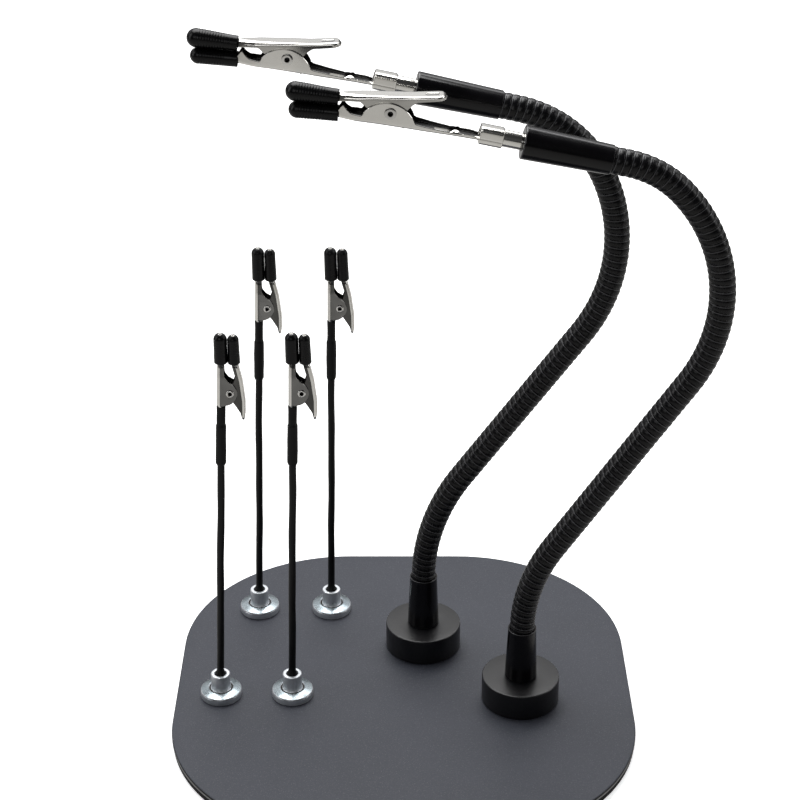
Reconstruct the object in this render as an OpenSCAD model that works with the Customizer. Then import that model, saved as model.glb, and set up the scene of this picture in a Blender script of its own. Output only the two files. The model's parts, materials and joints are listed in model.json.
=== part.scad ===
// Magnetic helping hands station: a powder coated steel plate on a soft pad,
// two gooseneck arms with large rubber booted clips, and four bendable board
// holders on pot magnets.
// Origin: centre of the pad's underside, +Z up, +Y towards the back,
// +X to the right. Units are millimetres.

/* [Base] */
// Width of the steel plate, left to right
plate_w = 178; // [160:1:220]
// Depth of the steel plate, front to back
plate_d = 184; // [160:1:220]
// Corner radius of the plate and of the pad
corner_r = 66; // [40:1:74]
// Thickness of the steel plate
plate_t = 2; // [1.5:0.5:4]
// Thickness of the soft pad under the plate
pad_t = 2.5; // [1:0.5:4]

/* [Arms] */
// Distance of the front arm's axis to the right of the centre
front_arm_x = 45.5; // [44:0.5:48]
// Distance of the front arm's axis behind the centre
front_arm_y = -11; // [-14:0.5:-8]
// Distance of the back arm's axis to the right of the centre
back_arm_x = 8; // [4:0.5:10]
// Distance of the back arm's axis behind the centre
back_arm_y = 25.5; // [23:0.5:29]
// Diameter of the magnetic foot of an arm
foot_dia = 30; // [28:0.5:34]
// Height of the magnetic foot of an arm
foot_h = 11; // [10:0.5:13]
// Outer diameter of the wound neck
neck_dia = 9.6; // [9:0.1:9.8]
// Length of the ferrule that stands on the foot
lower_ferrule_h = 22; // [18:1:26]
// Length of the ferrule at the clip
upper_ferrule_l = 31; // [26:0.5:36]

/* [Large clips] */
// Outer width of the folded fixed jaw
clip_w = 8.6; // [8:0.1:9.5]
// Sheet thickness of the large clip
clip_t = 0.6; // [0.5:0.05:0.7]

/* [Board holders] */
// Distance of the front holders behind the centre
front_row_y = -9; // [-12:0.5:-7]
// Distance of the back holders behind the centre
back_row_y = 50.5; // [47:0.5:53]
// Distance of the left front holder to the right of the centre
front_row_x = -71.5; // [-73:0.5:-69]
// Distance of the left back holder to the right of the centre
back_row_x = -60; // [-62:0.5:-58]
// Distance between the two front holders
front_pitch = 28; // [26:0.5:30]
// Distance between the two back holders
back_pitch = 30; // [27:0.5:31]
// Diameter of the pot magnet
pot_dia = 16; // [15:0.5:18]
// Height of the pot magnet without its boss
pot_h = 4; // [3.5:0.5:5]
// Diameter of the bendable stem
stem_dia = 2.8; // [2.4:0.1:3]
// Height of the clips of the front holders above the plate
front_clip_h = 128.9; // [110:0.1:136]
// Height of the clips of the back holders above the plate
back_clip_h = 134.4; // [115:0.1:142]
// Inward lean of the left front stem
lean_fl = 2.5; // [0:0.1:3.5]
// Inward lean of the right front stem
lean_fr = 1.5; // [0:0.1:3.5]
// Inward lean of the left back stem
lean_bl = 1.8; // [0:0.1:3.5]
// Inward lean of the right back stem
lean_br = 0.9; // [0:0.1:3.5]

/* [Hidden] */
$fn = 96;
plate_z = pad_t + plate_t;
pad_inset = 0.3;
// Clearances: parts that turn, parts that sit tight, a lever on its rivet, a neck ball
run = 0.05;
seat = 0.02;
lever_play = 0.07;
ball_play = 0.08;

// Arm foot
neck_z = foot_h + lower_ferrule_h;
magnet_pocket_r = 11.5;
magnet_pocket_h = 4.5;
magnet_lift = 0.1;
stud_r = 2.5;

// Neck
neck_r = neck_dia / 2;
tenon_r = 3.9;
tenon_l = 8;
tenon_overlap = 0.6;
ball_r = 4.5;
// Distances from a ball's centre to the end of the neck before it and the start after it
gap_before_ball = 1.6;
gap_after_ball = 0.6;
neck_end_l = 6;
// Shape of each neck from the foot up: lower bend radius and angle, straight length,
// middle bend radius and angle, upper bend radius and angle
front_neck = [65.9, 33.4, 83, 59.2, 77.6, 37.2, 33.8];
back_neck = [80, 35.4, 75.3, 62.7, 62.5, 45.6, 50.8];

// Large clip
clip_inner_w = clip_w - 2 * clip_t;
lever_w = clip_inner_w - 0.2;
barrel_r = 2.95;
barrel_bore_r = 1.6;
barrel_pocket_l = 8;

// Small clip
small_w = 5;
small_t = 0.45;
small_inner_w = small_w - 2 * small_t;
small_lever_w = small_inner_w - 0.2;
crimp_l = 5;

// Pot magnet: levels of the boss's top and of the stem's ball above the plate
mouth_z = pot_h + 6.2;
tilt_z = mouth_z - 1.2;

// Each holder: [x, y, lean, clip height]
fl_holder = [front_row_x, front_row_y, lean_fl, front_clip_h];
fr_holder = [front_row_x + front_pitch, front_row_y, lean_fr, front_clip_h];
bl_holder = [back_row_x, back_row_y, lean_bl, back_clip_h];
br_holder = [back_row_x + back_pitch, back_row_y, lean_br, back_clip_h];

// ---------- shared shapes ----------
// Round rod or cone along Z
module z_rod(start, length, radius, end_radius = undef) {
    translate([0, 0, start])
        cylinder(r1 = radius, r2 = is_undef(end_radius) ? radius : end_radius, h = length);
}

// Round rod or cone along X
module x_rod(start, length, radius, end_radius = undef) {
    rotate([0, 90, 0]) z_rod(start, length, radius, end_radius);
}

// Disc with its axis along Y, centred on the XZ plane
module y_disc(radius, width) {
    rotate([90, 0, 0]) cylinder(r = radius, h = width, center = true);
}

// Moves to an [x, z] point of the XZ plane
module at(point) {
    translate([point.x, 0, point.y]) children();
}

// Turned disc with a chamfered lower edge and a rounded upper rim
module rounded_disc(radius, height, chamfer, rim, step) {
    rotate_extrude() polygon(concat(
        [[0, 0], [radius - chamfer, 0], [radius, chamfer]],
        [for (a = [0:step:90]) [radius - rim + rim * cos(a), height - rim + rim * sin(a)]],
        [[0, height]]));
}

// ---------- path of a neck in the XZ plane, as [x, z] ----------
function lower_r(neck) = neck[0];
function lower_angle(neck) = neck[1];
function straight_l(neck) = neck[2];
function middle_r(neck) = neck[3];
function middle_angle(neck) = neck[4];
function upper_r(neck) = neck[5];
function upper_angle(neck) = neck[6];

// Offsets along a heading and square to it, on its left
function ahead(heading, distance) = distance * [cos(heading), sin(heading)];
function aside(heading, distance) = distance * [-sin(heading), cos(heading)];
function arc_angle(length, radius) = length / radius * 180 / PI;

// Headings of the straight, of the joint between the upper bends, and of the end
function straight_heading(neck) = 90 - lower_angle(neck);
function joint_heading(neck) = straight_heading(neck) + middle_angle(neck);
function end_heading(neck) = joint_heading(neck) + upper_angle(neck);

function lower_centre(neck) = [lower_r(neck), neck_z];
function straight_start(neck) =
    lower_centre(neck) + aside(straight_heading(neck), lower_r(neck));
function straight_mid(neck) =
    straight_start(neck) + ahead(straight_heading(neck), straight_l(neck) / 2);
function straight_end(neck) =
    straight_start(neck) + ahead(straight_heading(neck), straight_l(neck));
function middle_centre(neck) =
    straight_end(neck) + aside(straight_heading(neck), middle_r(neck));
function joint(neck) = middle_centre(neck) - aside(joint_heading(neck), middle_r(neck));
function upper_centre(neck) = joint(neck) + aside(joint_heading(neck), upper_r(neck));
function upper_end(neck) = upper_centre(neck) - aside(end_heading(neck), upper_r(neck));
function neck_end(neck) = upper_end(neck) + ahead(end_heading(neck), neck_end_l);

// Round bar from a point of the path along a heading
module bar(point, heading, length, radius, start = 0) {
    at(point) rotate([0, 90 - heading, 0]) z_rod(start, length, radius);
}

// Neck along an arc of the path, counter-clockwise seen from the front
module arc_bar(centre, radius, start_angle, angle) {
    at(centre) rotate([90, 0, 0]) rotate([0, 0, start_angle])
        rotate_extrude(angle = angle) translate([radius, 0]) circle(r = neck_r);
}

// Slightly proud winding over the place where two pieces of the path meet
module winding(point, heading) {
    bar(point, heading, 0.8, neck_r + 0.08, start = -0.4);
}

// ---------- base ----------
module rounded_slab(width, depth, radius, thickness) {
    linear_extrude(thickness) union() {
        square([width - 2 * radius, depth], center = true);
        square([width, depth - 2 * radius], center = true);
        for (sx = [-1, 1], sy = [-1, 1])
            translate([sx * (width / 2 - radius), sy * (depth / 2 - radius)])
                circle(r = radius);
    }
}

module base_plate() {
    color([0.29, 0.30, 0.33]) translate([0, 0, pad_t])
        rounded_slab(plate_w, plate_d, corner_r, plate_t);
}

module anti_slip_pad() {
    color([0.05, 0.05, 0.05])
        rounded_slab(plate_w - 2 * pad_inset, plate_d - 2 * pad_inset, corner_r - pad_inset, pad_t);
}

// ---------- arm foot ----------
// Turned foot with a pocket for the ring magnet and a hole for the stud
module foot_housing() {
    color([0.06, 0.06, 0.07]) difference() {
        rounded_disc(foot_dia / 2, foot_h, chamfer = 0.3, rim = 1.1, step = 15);
        z_rod(-1, magnet_pocket_h + 1, magnet_pocket_r);
        z_rod(5.2, 10, stud_r + run);
    }
}

module foot_magnet() {
    color([0.30, 0.30, 0.31]) translate([0, 0, magnet_lift]) difference() {
        z_rod(0, magnet_pocket_h - magnet_lift - seat, magnet_pocket_r - seat);
        z_rod(-1, 8, 4);
    }
}

// Tapered ferrule with a stud that turns in the foot and a socket for the neck
module lower_ferrule() {
    bottom_z = foot_h + run;
    flare_h = 0.4;
    chamfer_h = 0.6;
    color([0.06, 0.06, 0.07]) difference() {
        union() {
            z_rod(5.6, foot_h - 5.5, stud_r);
            z_rod(bottom_z, flare_h, 5.9, 6.2);
            z_rod(bottom_z + flare_h, lower_ferrule_h - run - flare_h - chamfer_h, 6.2, 5.35);
            z_rod(neck_z - chamfer_h, chamfer_h, 5.35, 5.0);
        }
        z_rod(neck_z - tenon_l, tenon_l + 1, tenon_r + seat);
    }
}

// ---------- neck pieces ----------
// Tenon, lower bend and half of the straight, hollowed for the first ball
module neck_lower(neck) {
    heading = straight_heading(neck);
    color([0.09, 0.09, 0.10]) difference() {
        union() {
            z_rod(neck_z - tenon_l + seat, tenon_l + tenon_overlap, tenon_r);
            arc_bar(lower_centre(neck), lower_r(neck), 180 - lower_angle(neck), lower_angle(neck));
            winding(straight_start(neck), heading);
            bar(straight_start(neck), heading, straight_l(neck) / 2 - gap_before_ball, neck_r);
        }
        at(straight_mid(neck)) sphere(r = ball_r + ball_play);
    }
}

// First ball, rest of the straight and middle bend, hollowed for the second ball
module neck_middle(neck) {
    heading = straight_heading(neck);
    color([0.09, 0.09, 0.10]) difference() {
        union() {
            at(straight_mid(neck)) sphere(r = ball_r);
            bar(straight_mid(neck) + ahead(heading, gap_after_ball), heading,
                straight_l(neck) / 2 - gap_after_ball, neck_r);
            winding(straight_end(neck), heading);
            arc_bar(middle_centre(neck), middle_r(neck), heading - 90,
                middle_angle(neck) - arc_angle(gap_before_ball, middle_r(neck)));
        }
        at(joint(neck)) sphere(r = ball_r + ball_play);
    }
}

// Second ball, upper bend, short straight end and tenon
module neck_upper(neck) {
    heading = end_heading(neck);
    gap_angle = arc_angle(gap_after_ball, upper_r(neck));
    color([0.09, 0.09, 0.10]) union() {
        at(joint(neck)) sphere(r = ball_r);
        arc_bar(upper_centre(neck), upper_r(neck), joint_heading(neck) - 90 + gap_angle,
            upper_angle(neck) - gap_angle);
        winding(upper_end(neck), heading);
        bar(upper_end(neck), heading, neck_end_l, neck_r);
        bar(neck_end(neck) - ahead(heading, tenon_overlap), heading,
            tenon_l + tenon_overlap - seat, tenon_r);
    }
}

// ---------- shared clip shapes ----------
// Clip frames: +X towards the jaws, +Z towards the lever. Points are [x, z].
// An axis is a pair of points, from the root of a jaw end to its tip.

// Sheet cut to a side outline and folded to a width
module side_slab(outline, width) {
    rotate([90, 0, 0]) linear_extrude(width, center = true) polygon(outline);
}

// Tall slab with a symmetric plan, from stations [x, half width]
module plan_slab(stations) {
    translate([0, 0, -15]) linear_extrude(40) polygon(concat(
        [for (s = stations) [s.x, -s.y]],
        [for (i = [len(stations) - 1:-1:0]) stations[i]]));
}

// Puts X along an axis
module on_axis(axis) {
    run_xz = axis[1] - axis[0];
    at(axis[0]) rotate([0, -atan2(run_xz.y, run_xz.x), 0]) children();
}

// The same axis with its root moved along it by a distance in X
function shortened(axis, dx) =
    [axis[0] + dx / (axis[1].x - axis[0].x) * (axis[1] - axis[0]), axis[1]];

module axis_box(axis, start, length, width, height) {
    on_axis(axis) translate([start, -width / 2, -height / 2]) cube([length, width, height]);
}

// Jaw end with a groove along it; open_side is 1 for a groove open to +Z, -1 to -Z
module jaw_end(axis, start, length, width, height, wall, groove_start, groove_l, open_side) {
    difference() {
        axis_box(axis, start, length, width, height);
        translate([0, 0, open_side * wall])
            axis_box(axis, groove_start, groove_l, width - 2 * wall, height);
    }
}

// Round sleeve with a domed end and a flat sided pocket
module boot(axis, root_r, tip_r, pocket_w, pocket_h, pocket_l, tip_hole_r = 0) {
    length = norm(axis[1] - axis[0]);
    on_axis(axis) difference() {
        union() {
            x_rod(0, length, root_r, tip_r);
            translate([length, 0, 0]) sphere(r = tip_r);
        }
        translate([-1, -pocket_w / 2, -pocket_h / 2]) cube([pocket_l + 1, pocket_w, pocket_h]);
        if (tip_hole_r > 0)
            x_rod(length + tip_r - 0.9, 2, tip_hole_r);
    }
}

// Hollow rivet with two flanges and the spring coil around it
module rivet_and_spring(rivet_r, bore_r, flange_r, width, coil_r, coil_w) {
    flange_t = 0.4;
    color([0.62, 0.62, 0.61]) difference() {
        union() {
            y_disc(rivet_r, width + 0.2);
            for (side = [-1, 1])
                translate([0, side * (width / 2 + seat + flange_t / 2), 0])
                    y_disc(flange_r, flange_t);
        }
        y_disc(bore_r, width + 4);
    }
    color([0.55, 0.55, 0.55]) difference() {
        y_disc(coil_r, coil_w);
        y_disc(rivet_r + 0.1, coil_w + 1);
    }
}

// ---------- large clip ----------
// Frame origin: centre of the ferrule's clip end
large_pivot_at = [46, 2];
large_rivet_r = 1.2;
large_end_w = 3.4;
large_end_h = 2.8;
large_fixed_axis = [[63.6, -2.85], [76.6, -4.75]];
large_lever_axis = [[63.6, 2.8], [78.4, 1.75]];

// Side outline of the fixed jaw, [x, z]
large_jaw_outline = [
    [15, -1.65], [37.6, -2.15], [50, -2.75], [64, -3.85], [64, -1.2], [62.7, -0.8],
    [62.05, 1], [60.6, -0.1], [58.9, -0.9], [55.6, -0.9], [54.6, 0.7], [50, 2.5],
    [41, 2.5], [38.4, 1.5], [37.4, 0.2], [31.4, -0.45], [24.7, -0.6], [15, -0.4]
];
// Bounds of the round cheek at the pivot, [x, z]
large_cheek_outline = [[37.7, -2.1], [50, -2.7], [55.4, -3.1], [55.4, 8], [37.7, 8]];
// Space inside the folded fixed jaw, [x, z]
large_jaw_hollow = [
    [14, -1.65 + clip_t], [37.6, -2.15 + clip_t], [50, -2.75 + clip_t], [66, -4 + clip_t],
    [66, 9], [14, 9]
];
// Side outline of the lever and the space inside it, [x, z]
large_lever_outline = [
    [64, 1.5], [64, 4.4], [39.4, 8.8], [29.2, 11.3], [28.4, 10.5], [28.8, 9.8], [38.2, 7.2],
    [39.6, 5.9], [40.6, 4.1], [42.8, 2], [49.4, 2], [54, 1.8], [57, 4]
];
large_lever_hollow = [
    [66, -3], [66, 4.04 - clip_t], [39.4, 8.8 - clip_t], [29.7, 11.18 - clip_t], [29.7, -3]
];

// Places the clip at the end of a neck
module on_clip(neck) {
    heading = end_heading(neck);
    at(neck_end(neck) + ahead(heading, upper_ferrule_l))
        rotate([0, 180 - heading, 0]) rotate([0, 0, 180]) children();
}

// Cutter for a round ended slot along X
module slot(x, z, length, height) {
    radius = 0.9;
    for (end_x = [x, x + length])
        translate([end_x, 0, z]) cylinder(r = radius, h = height);
    translate([x, -radius, z]) cube([length, 2 * radius, height]);
}

module large_jaw_end(axis, length, open_side) {
    jaw_end(axis, start = -1, length = length, width = large_end_w, height = large_end_h,
        wall = 0.55, groove_start = 0.6, groove_l = length + 1.2, open_side = open_side);
}

module upper_ferrule() {
    flare_l = 0.8;
    chamfer_l = 0.5;
    color([0.05, 0.05, 0.06]) difference() {
        union() {
            x_rod(-upper_ferrule_l, flare_l, 4.9, 5.2);
            x_rod(-upper_ferrule_l + flare_l, upper_ferrule_l - flare_l - chamfer_l, 5.2, 5.85);
            x_rod(-chamfer_l, chamfer_l, 5.85, 5.45);
        }
        x_rod(-upper_ferrule_l - 1, tenon_l + 1, tenon_r + seat);
        x_rod(-barrel_pocket_l, barrel_pocket_l + 1, barrel_r + seat);
    }
}

// Tube with a thicker, flat sided part at the clip
module barrel() {
    color([0.80, 0.80, 0.80]) difference() {
        union() {
            x_rod(-barrel_pocket_l + 0.1, 22.5, barrel_r);
            intersection() {
                x_rod(6.8, 8.1, 3.9);
                translate([6, -3.25, -3.1]) cube([10, 6.5, 6.4]);
            }
        }
        x_rod(-9, 26, barrel_bore_r);
    }
}

module large_fixed_jaw() {
    color([0.72, 0.72, 0.70]) union() {
        difference() {
            intersection() {
                union() {
                    side_slab(large_jaw_outline, clip_w);
                    intersection() {
                        at([46.2, -4.75]) y_disc(10.18, clip_w);
                        side_slab(large_cheek_outline, clip_w);
                    }
                }
                plan_slab([[14, 3.2], [23, 3.3], [35, clip_w / 2], [57, clip_w / 2], [64.5, 1.9]]);
            }
            intersection() {
                side_slab(large_jaw_hollow, clip_inner_w);
                plan_slab([[13, 2.6], [23, 2.7], [35, clip_inner_w / 2], [57, clip_inner_w / 2],
                    [65, 1.3]]);
            }
            at(large_pivot_at) y_disc(large_rivet_r + seat, 20);
            slot(x = 26, z = -4, length = 3.5, height = 5);
        }
        // tongue crimped in the barrel, and the block that joins it to the sheet
        x_rod(9, 6.2, barrel_bore_r - run);
        translate([14.95, -1.5, -1.45]) cube([1.3, 3, 1.9]);
        large_jaw_end(large_fixed_axis, 12.8, open_side = 1);
    }
}

module large_lever() {
    hollow_w = lever_w - 2 * clip_t;
    color([0.80, 0.80, 0.79]) difference() {
        union() {
            difference() {
                intersection() {
                    union() {
                        side_slab(large_lever_outline, lever_w);
                        at(large_pivot_at) y_disc(3.3, lever_w);
                    }
                    plan_slab([[28, 2.9], [30, lever_w / 2], [57, lever_w / 2], [64.5, 1.9]]);
                }
                intersection() {
                    side_slab(large_lever_hollow, hollow_w);
                    plan_slab([[28, 2.4], [30, hollow_w / 2], [57, hollow_w / 2], [65, 1.3]]);
                }
            }
            large_jaw_end(large_lever_axis, 13.8, open_side = -1);
        }
        at(large_pivot_at) y_disc(large_rivet_r + lever_play, 20);
        slot(x = 33, z = 8, length = 3, height = 6);
    }
}

module large_pivot() {
    at(large_pivot_at) rivet_and_spring(rivet_r = large_rivet_r, bore_r = 0.85, flange_r = 1.5,
        width = clip_w, coil_r = 2.1, coil_w = 5.2);
}

module large_boot(axis, root_r, tip_r, pocket_l) {
    color([0.03, 0.03, 0.04]) boot(shortened(axis, 0.6), root_r, tip_r,
        large_end_w + 2 * seat, large_end_h + 2 * seat, pocket_l);
}

module large_fixed_boot() {
    large_boot(large_fixed_axis, root_r = 2.65, tip_r = 2.78, pocket_l = 12);
}

module large_lever_boot() {
    large_boot(large_lever_axis, root_r = 2.7, tip_r = 3.35, pocket_l = 13);
}

// ---------- arm nodes ----------
module arm_front() { translate([front_arm_x, front_arm_y, plate_z]) children(); }
module arm_back() { translate([back_arm_x, back_arm_y, plate_z]) children(); }
module clip_front() { arm_front() on_clip(front_neck) children(); }
module clip_back() { arm_back() on_clip(back_neck) children(); }

module front_foot_housing() { arm_front() foot_housing(); }
module front_foot_magnet() { arm_front() foot_magnet(); }
module front_ferrule_lower() { arm_front() lower_ferrule(); }
module front_neck_lower() { arm_front() neck_lower(front_neck); }
module front_neck_middle() { arm_front() neck_middle(front_neck); }
module front_neck_upper() { arm_front() neck_upper(front_neck); }
module front_ferrule_upper() { clip_front() upper_ferrule(); }
module front_clip_barrel() { clip_front() barrel(); }
module front_clip_body() { clip_front() large_fixed_jaw(); }
module front_clip_lever() { clip_front() large_lever(); }
module front_clip_pivot() { clip_front() large_pivot(); }
module front_boot_fixed() { clip_front() large_fixed_boot(); }
module front_boot_lever() { clip_front() large_lever_boot(); }

module back_foot_housing() { arm_back() foot_housing(); }
module back_foot_magnet() { arm_back() foot_magnet(); }
module back_ferrule_lower() { arm_back() lower_ferrule(); }
module back_neck_lower() { arm_back() neck_lower(back_neck); }
module back_neck_middle() { arm_back() neck_middle(back_neck); }
module back_neck_upper() { arm_back() neck_upper(back_neck); }
module back_ferrule_upper() { clip_back() upper_ferrule(); }
module back_clip_barrel() { clip_back() barrel(); }
module back_clip_body() { clip_back() large_fixed_jaw(); }
module back_clip_lever() { clip_back() large_lever(); }
module back_clip_pivot() { clip_back() large_pivot(); }
module back_boot_fixed() { clip_back() large_fixed_boot(); }
module back_boot_lever() { clip_back() large_lever_boot(); }

// ---------- pot magnet, stem and sleeve ----------
// Steel cup with a boss, countersunk for the stem, and the disc magnet inside
module pot() {
    wall = 1.5;
    roof = 1.2;
    boss_r = 3.75;
    boss_chamfer_h = 0.3;
    mouth_r = 3.0;
    color([0.60, 0.64, 0.66]) difference() {
        union() {
            rounded_disc(pot_dia / 2, pot_h, chamfer = 0.2, rim = 0.9, step = 18);
            z_rod(0, mouth_z - boss_chamfer_h, boss_r);
            z_rod(mouth_z - boss_chamfer_h, boss_chamfer_h, boss_r, 3.5);
        }
        z_rod(-1, 1 + pot_h - roof, pot_dia / 2 - wall);
        translate([0, 0, tilt_z]) sphere(r = stem_dia / 2 + run);
        z_rod(tilt_z - 1.05, 2.25, stem_dia / 2.8, mouth_r);
        z_rod(mouth_z - 0.01, 1, mouth_r);
    }
    color([0.25, 0.25, 0.26])
        z_rod(magnet_lift, pot_h - roof - magnet_lift - run, pot_dia / 2 - wall - 0.1);
}

// Height of a holder's clip above the centre of its stem's ball
function mast_l(holder) = holder[3] - tilt_z;

// Ball ended stem from the seat to the clip's crimp
module stem_rod(holder) {
    color([0.07, 0.07, 0.07]) union() {
        sphere(r = stem_dia / 2);
        z_rod(0, mast_l(holder) - crimp_l - run, stem_dia / 2);
    }
}

// Shrunk sleeve: a thick part over the joint, a thin part up to the clip
module shrink(holder) {
    thick_r = 1.95;
    thin_r = 1.62;
    color([0.05, 0.05, 0.05]) translate([0, 0, mast_l(holder)]) difference() {
        union() {
            z_rod(-24, 0.8, 1.6, thick_r);
            z_rod(-23.2, 15.6, thick_r);
            z_rod(-7.6, 0.6, thick_r, thin_r);
            z_rod(-7, 7 - seat, thin_r);
        }
        z_rod(-25, 26, stem_dia / 2 + seat);
    }
}

// ---------- small clip ----------
// Frame origin: on the stem's axis, where the sleeve ends
small_pivot_at = [5.9, 3.4];
small_rivet_r = 1.0;
small_end_w = 2.6;
small_end_h = 2.1;
small_fixed_axis = [[17.3, -0.1], [26.9, -0.4]];
small_lever_axis = [[16.5, 4.65], [26, 3.95]];

// Side outlines of the fixed jaw, of its cheek's bounds and of the space inside, [x, z]
small_jaw_outline = [
    [0.5, -1.5], [17.6, -1.5], [17.6, 1.1], [12.6, 1.1], [10, 3], [8, 3.6], [3, 3.6],
    [0.7, 1], [0, 0.4], [0, -1]
];
small_cheek_outline = [[0.2, -1.45], [12, -1.45], [12, 8], [0.2, 8]];
small_jaw_hollow = [
    [1, -1.5 + small_t], [16.9, -1.5 + small_t], [16.9, 9], [-2, 9], [-2, 2], [1, 0.9]
];
// Side outline of the lever and the space inside it, [x, z]
small_lever_outline = [
    [17, 3.8], [17, 6.3], [10.7, 7.8], [2.6, 8.9], [-3, 9], [-5.2, 8.5], [-5.5, 8.1],
    [-5.2, 7.8], [-2.2, 7.2], [0.8, 5.2], [3.6, 3.4], [8.2, 3.4], [9.5, 4.2], [12.3, 5.3]
];
small_lever_hollow = [
    [16.2, -1], [16.2, 6], [10.7, 7.3], [2.6, 8.45], [-3, 8.5], [-5, 8.1], [-5, -1]
];

module small_jaw_end(axis, open_side) {
    jaw_end(axis, start = -0.6, length = 8.95, width = small_end_w, height = small_end_h,
        wall = 0.4, groove_start = 0.4, groove_l = 11, open_side = open_side);
}

module small_fixed_jaw() {
    color([0.35, 0.35, 0.34]) union() {
        difference() {
            union() {
                side_slab(small_jaw_outline, small_w);
                intersection() {
                    at([5.8, 1]) y_disc(5, small_w);
                    side_slab(small_cheek_outline, small_w);
                }
            }
            side_slab(small_jaw_hollow, small_inner_w);
            at(small_pivot_at) y_disc(small_rivet_r + seat, 20);
        }
        // crimp in line with the stem
        x_rod(-crimp_l, crimp_l + 0.6, 1.3);
        small_jaw_end(small_fixed_axis, open_side = 1);
    }
}

module small_lever() {
    color([0.38, 0.38, 0.37]) difference() {
        union() {
            difference() {
                union() {
                    side_slab(small_lever_outline, small_lever_w);
                    at(small_pivot_at) y_disc(2.4, small_lever_w);
                }
                side_slab(small_lever_hollow, small_lever_w - 2 * small_t);
            }
            small_jaw_end(small_lever_axis, open_side = -1);
        }
        at(small_pivot_at) y_disc(small_rivet_r + lever_play, 20);
    }
}

module small_pivot() {
    at(small_pivot_at) rivet_and_spring(rivet_r = small_rivet_r, bore_r = 0.7, flange_r = 1.4,
        width = small_w, coil_r = 1.6, coil_w = 2.4);
}

module small_boot(axis, root_dx, tip_r, pocket_l) {
    color([0.03, 0.03, 0.03]) boot(shortened(axis, root_dx), 2.2, tip_r,
        small_end_w + 2 * seat, small_end_h + 2 * seat, pocket_l, tip_hole_r = 0.8);
}

module small_fixed_boot() {
    small_boot(small_fixed_axis, root_dx = 0.4, tip_r = 2.15, pocket_l = 8.15);
}

module small_lever_boot() {
    small_boot(small_lever_axis, root_dx = 0.65, tip_r = 2.1, pocket_l = 7.85);
}

// ---------- board holder nodes ----------
module pot_of(holder) { translate([holder.x, holder.y, plate_z]) pot(); }

// Leaning frame with its origin at the centre of the stem's ball
module mast(holder) {
    translate([holder.x, holder.y, plate_z + tilt_z]) rotate([0, holder[2], 0]) children();
}

// Clip frame with its jaws up and its lever to the right
module clip(holder) {
    mast(holder) translate([0, 0, mast_l(holder)]) rotate([0, -90, 180]) children();
}

module fl_pot_magnet() { pot_of(fl_holder); }
module fl_stem() { mast(fl_holder) stem_rod(fl_holder); }
module fl_shrink_sleeve() { mast(fl_holder) shrink(fl_holder); }
module fl_clip_body() { clip(fl_holder) small_fixed_jaw(); }
module fl_clip_lever() { clip(fl_holder) small_lever(); }
module fl_clip_pivot() { clip(fl_holder) small_pivot(); }
module fl_boot_fixed() { clip(fl_holder) small_fixed_boot(); }
module fl_boot_lever() { clip(fl_holder) small_lever_boot(); }

module fr_pot_magnet() { pot_of(fr_holder); }
module fr_stem() { mast(fr_holder) stem_rod(fr_holder); }
module fr_shrink_sleeve() { mast(fr_holder) shrink(fr_holder); }
module fr_clip_body() { clip(fr_holder) small_fixed_jaw(); }
module fr_clip_lever() { clip(fr_holder) small_lever(); }
module fr_clip_pivot() { clip(fr_holder) small_pivot(); }
module fr_boot_fixed() { clip(fr_holder) small_fixed_boot(); }
module fr_boot_lever() { clip(fr_holder) small_lever_boot(); }

module bl_pot_magnet() { pot_of(bl_holder); }
module bl_stem() { mast(bl_holder) stem_rod(bl_holder); }
module bl_shrink_sleeve() { mast(bl_holder) shrink(bl_holder); }
module bl_clip_body() { clip(bl_holder) small_fixed_jaw(); }
module bl_clip_lever() { clip(bl_holder) small_lever(); }
module bl_clip_pivot() { clip(bl_holder) small_pivot(); }
module bl_boot_fixed() { clip(bl_holder) small_fixed_boot(); }
module bl_boot_lever() { clip(bl_holder) small_lever_boot(); }

module br_pot_magnet() { pot_of(br_holder); }
module br_stem() { mast(br_holder) stem_rod(br_holder); }
module br_shrink_sleeve() { mast(br_holder) shrink(br_holder); }
module br_clip_body() { clip(br_holder) small_fixed_jaw(); }
module br_clip_lever() { clip(br_holder) small_lever(); }
module br_clip_pivot() { clip(br_holder) small_pivot(); }
module br_boot_fixed() { clip(br_holder) small_fixed_boot(); }
module br_boot_lever() { clip(br_holder) small_lever_boot(); }

base_plate();
anti_slip_pad();
front_foot_housing();
front_foot_magnet();
front_ferrule_lower();
front_neck_lower();
front_neck_middle();
front_neck_upper();
front_ferrule_upper();
front_clip_barrel();
front_clip_body();
front_clip_lever();
front_clip_pivot();
front_boot_fixed();
front_boot_lever();
back_foot_housing();
back_foot_magnet();
back_ferrule_lower();
back_neck_lower();
back_neck_middle();
back_neck_upper();
back_ferrule_upper();
back_clip_barrel();
back_clip_body();
back_clip_lever();
back_clip_pivot();
back_boot_fixed();
back_boot_lever();
fl_pot_magnet();
fl_stem();
fl_shrink_sleeve();
fl_clip_body();
fl_clip_lever();
fl_clip_pivot();
fl_boot_fixed();
fl_boot_lever();
fr_pot_magnet();
fr_stem();
fr_shrink_sleeve();
fr_clip_body();
fr_clip_lever();
fr_clip_pivot();
fr_boot_fixed();
fr_boot_lever();
bl_pot_magnet();
bl_stem();
bl_shrink_sleeve();
bl_clip_body();
bl_clip_lever();
bl_clip_pivot();
bl_boot_fixed();
bl_boot_lever();
br_pot_magnet();
br_stem();
br_shrink_sleeve();
br_clip_body();
br_clip_lever();
br_clip_pivot();
br_boot_fixed();
br_boot_lever();
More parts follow.
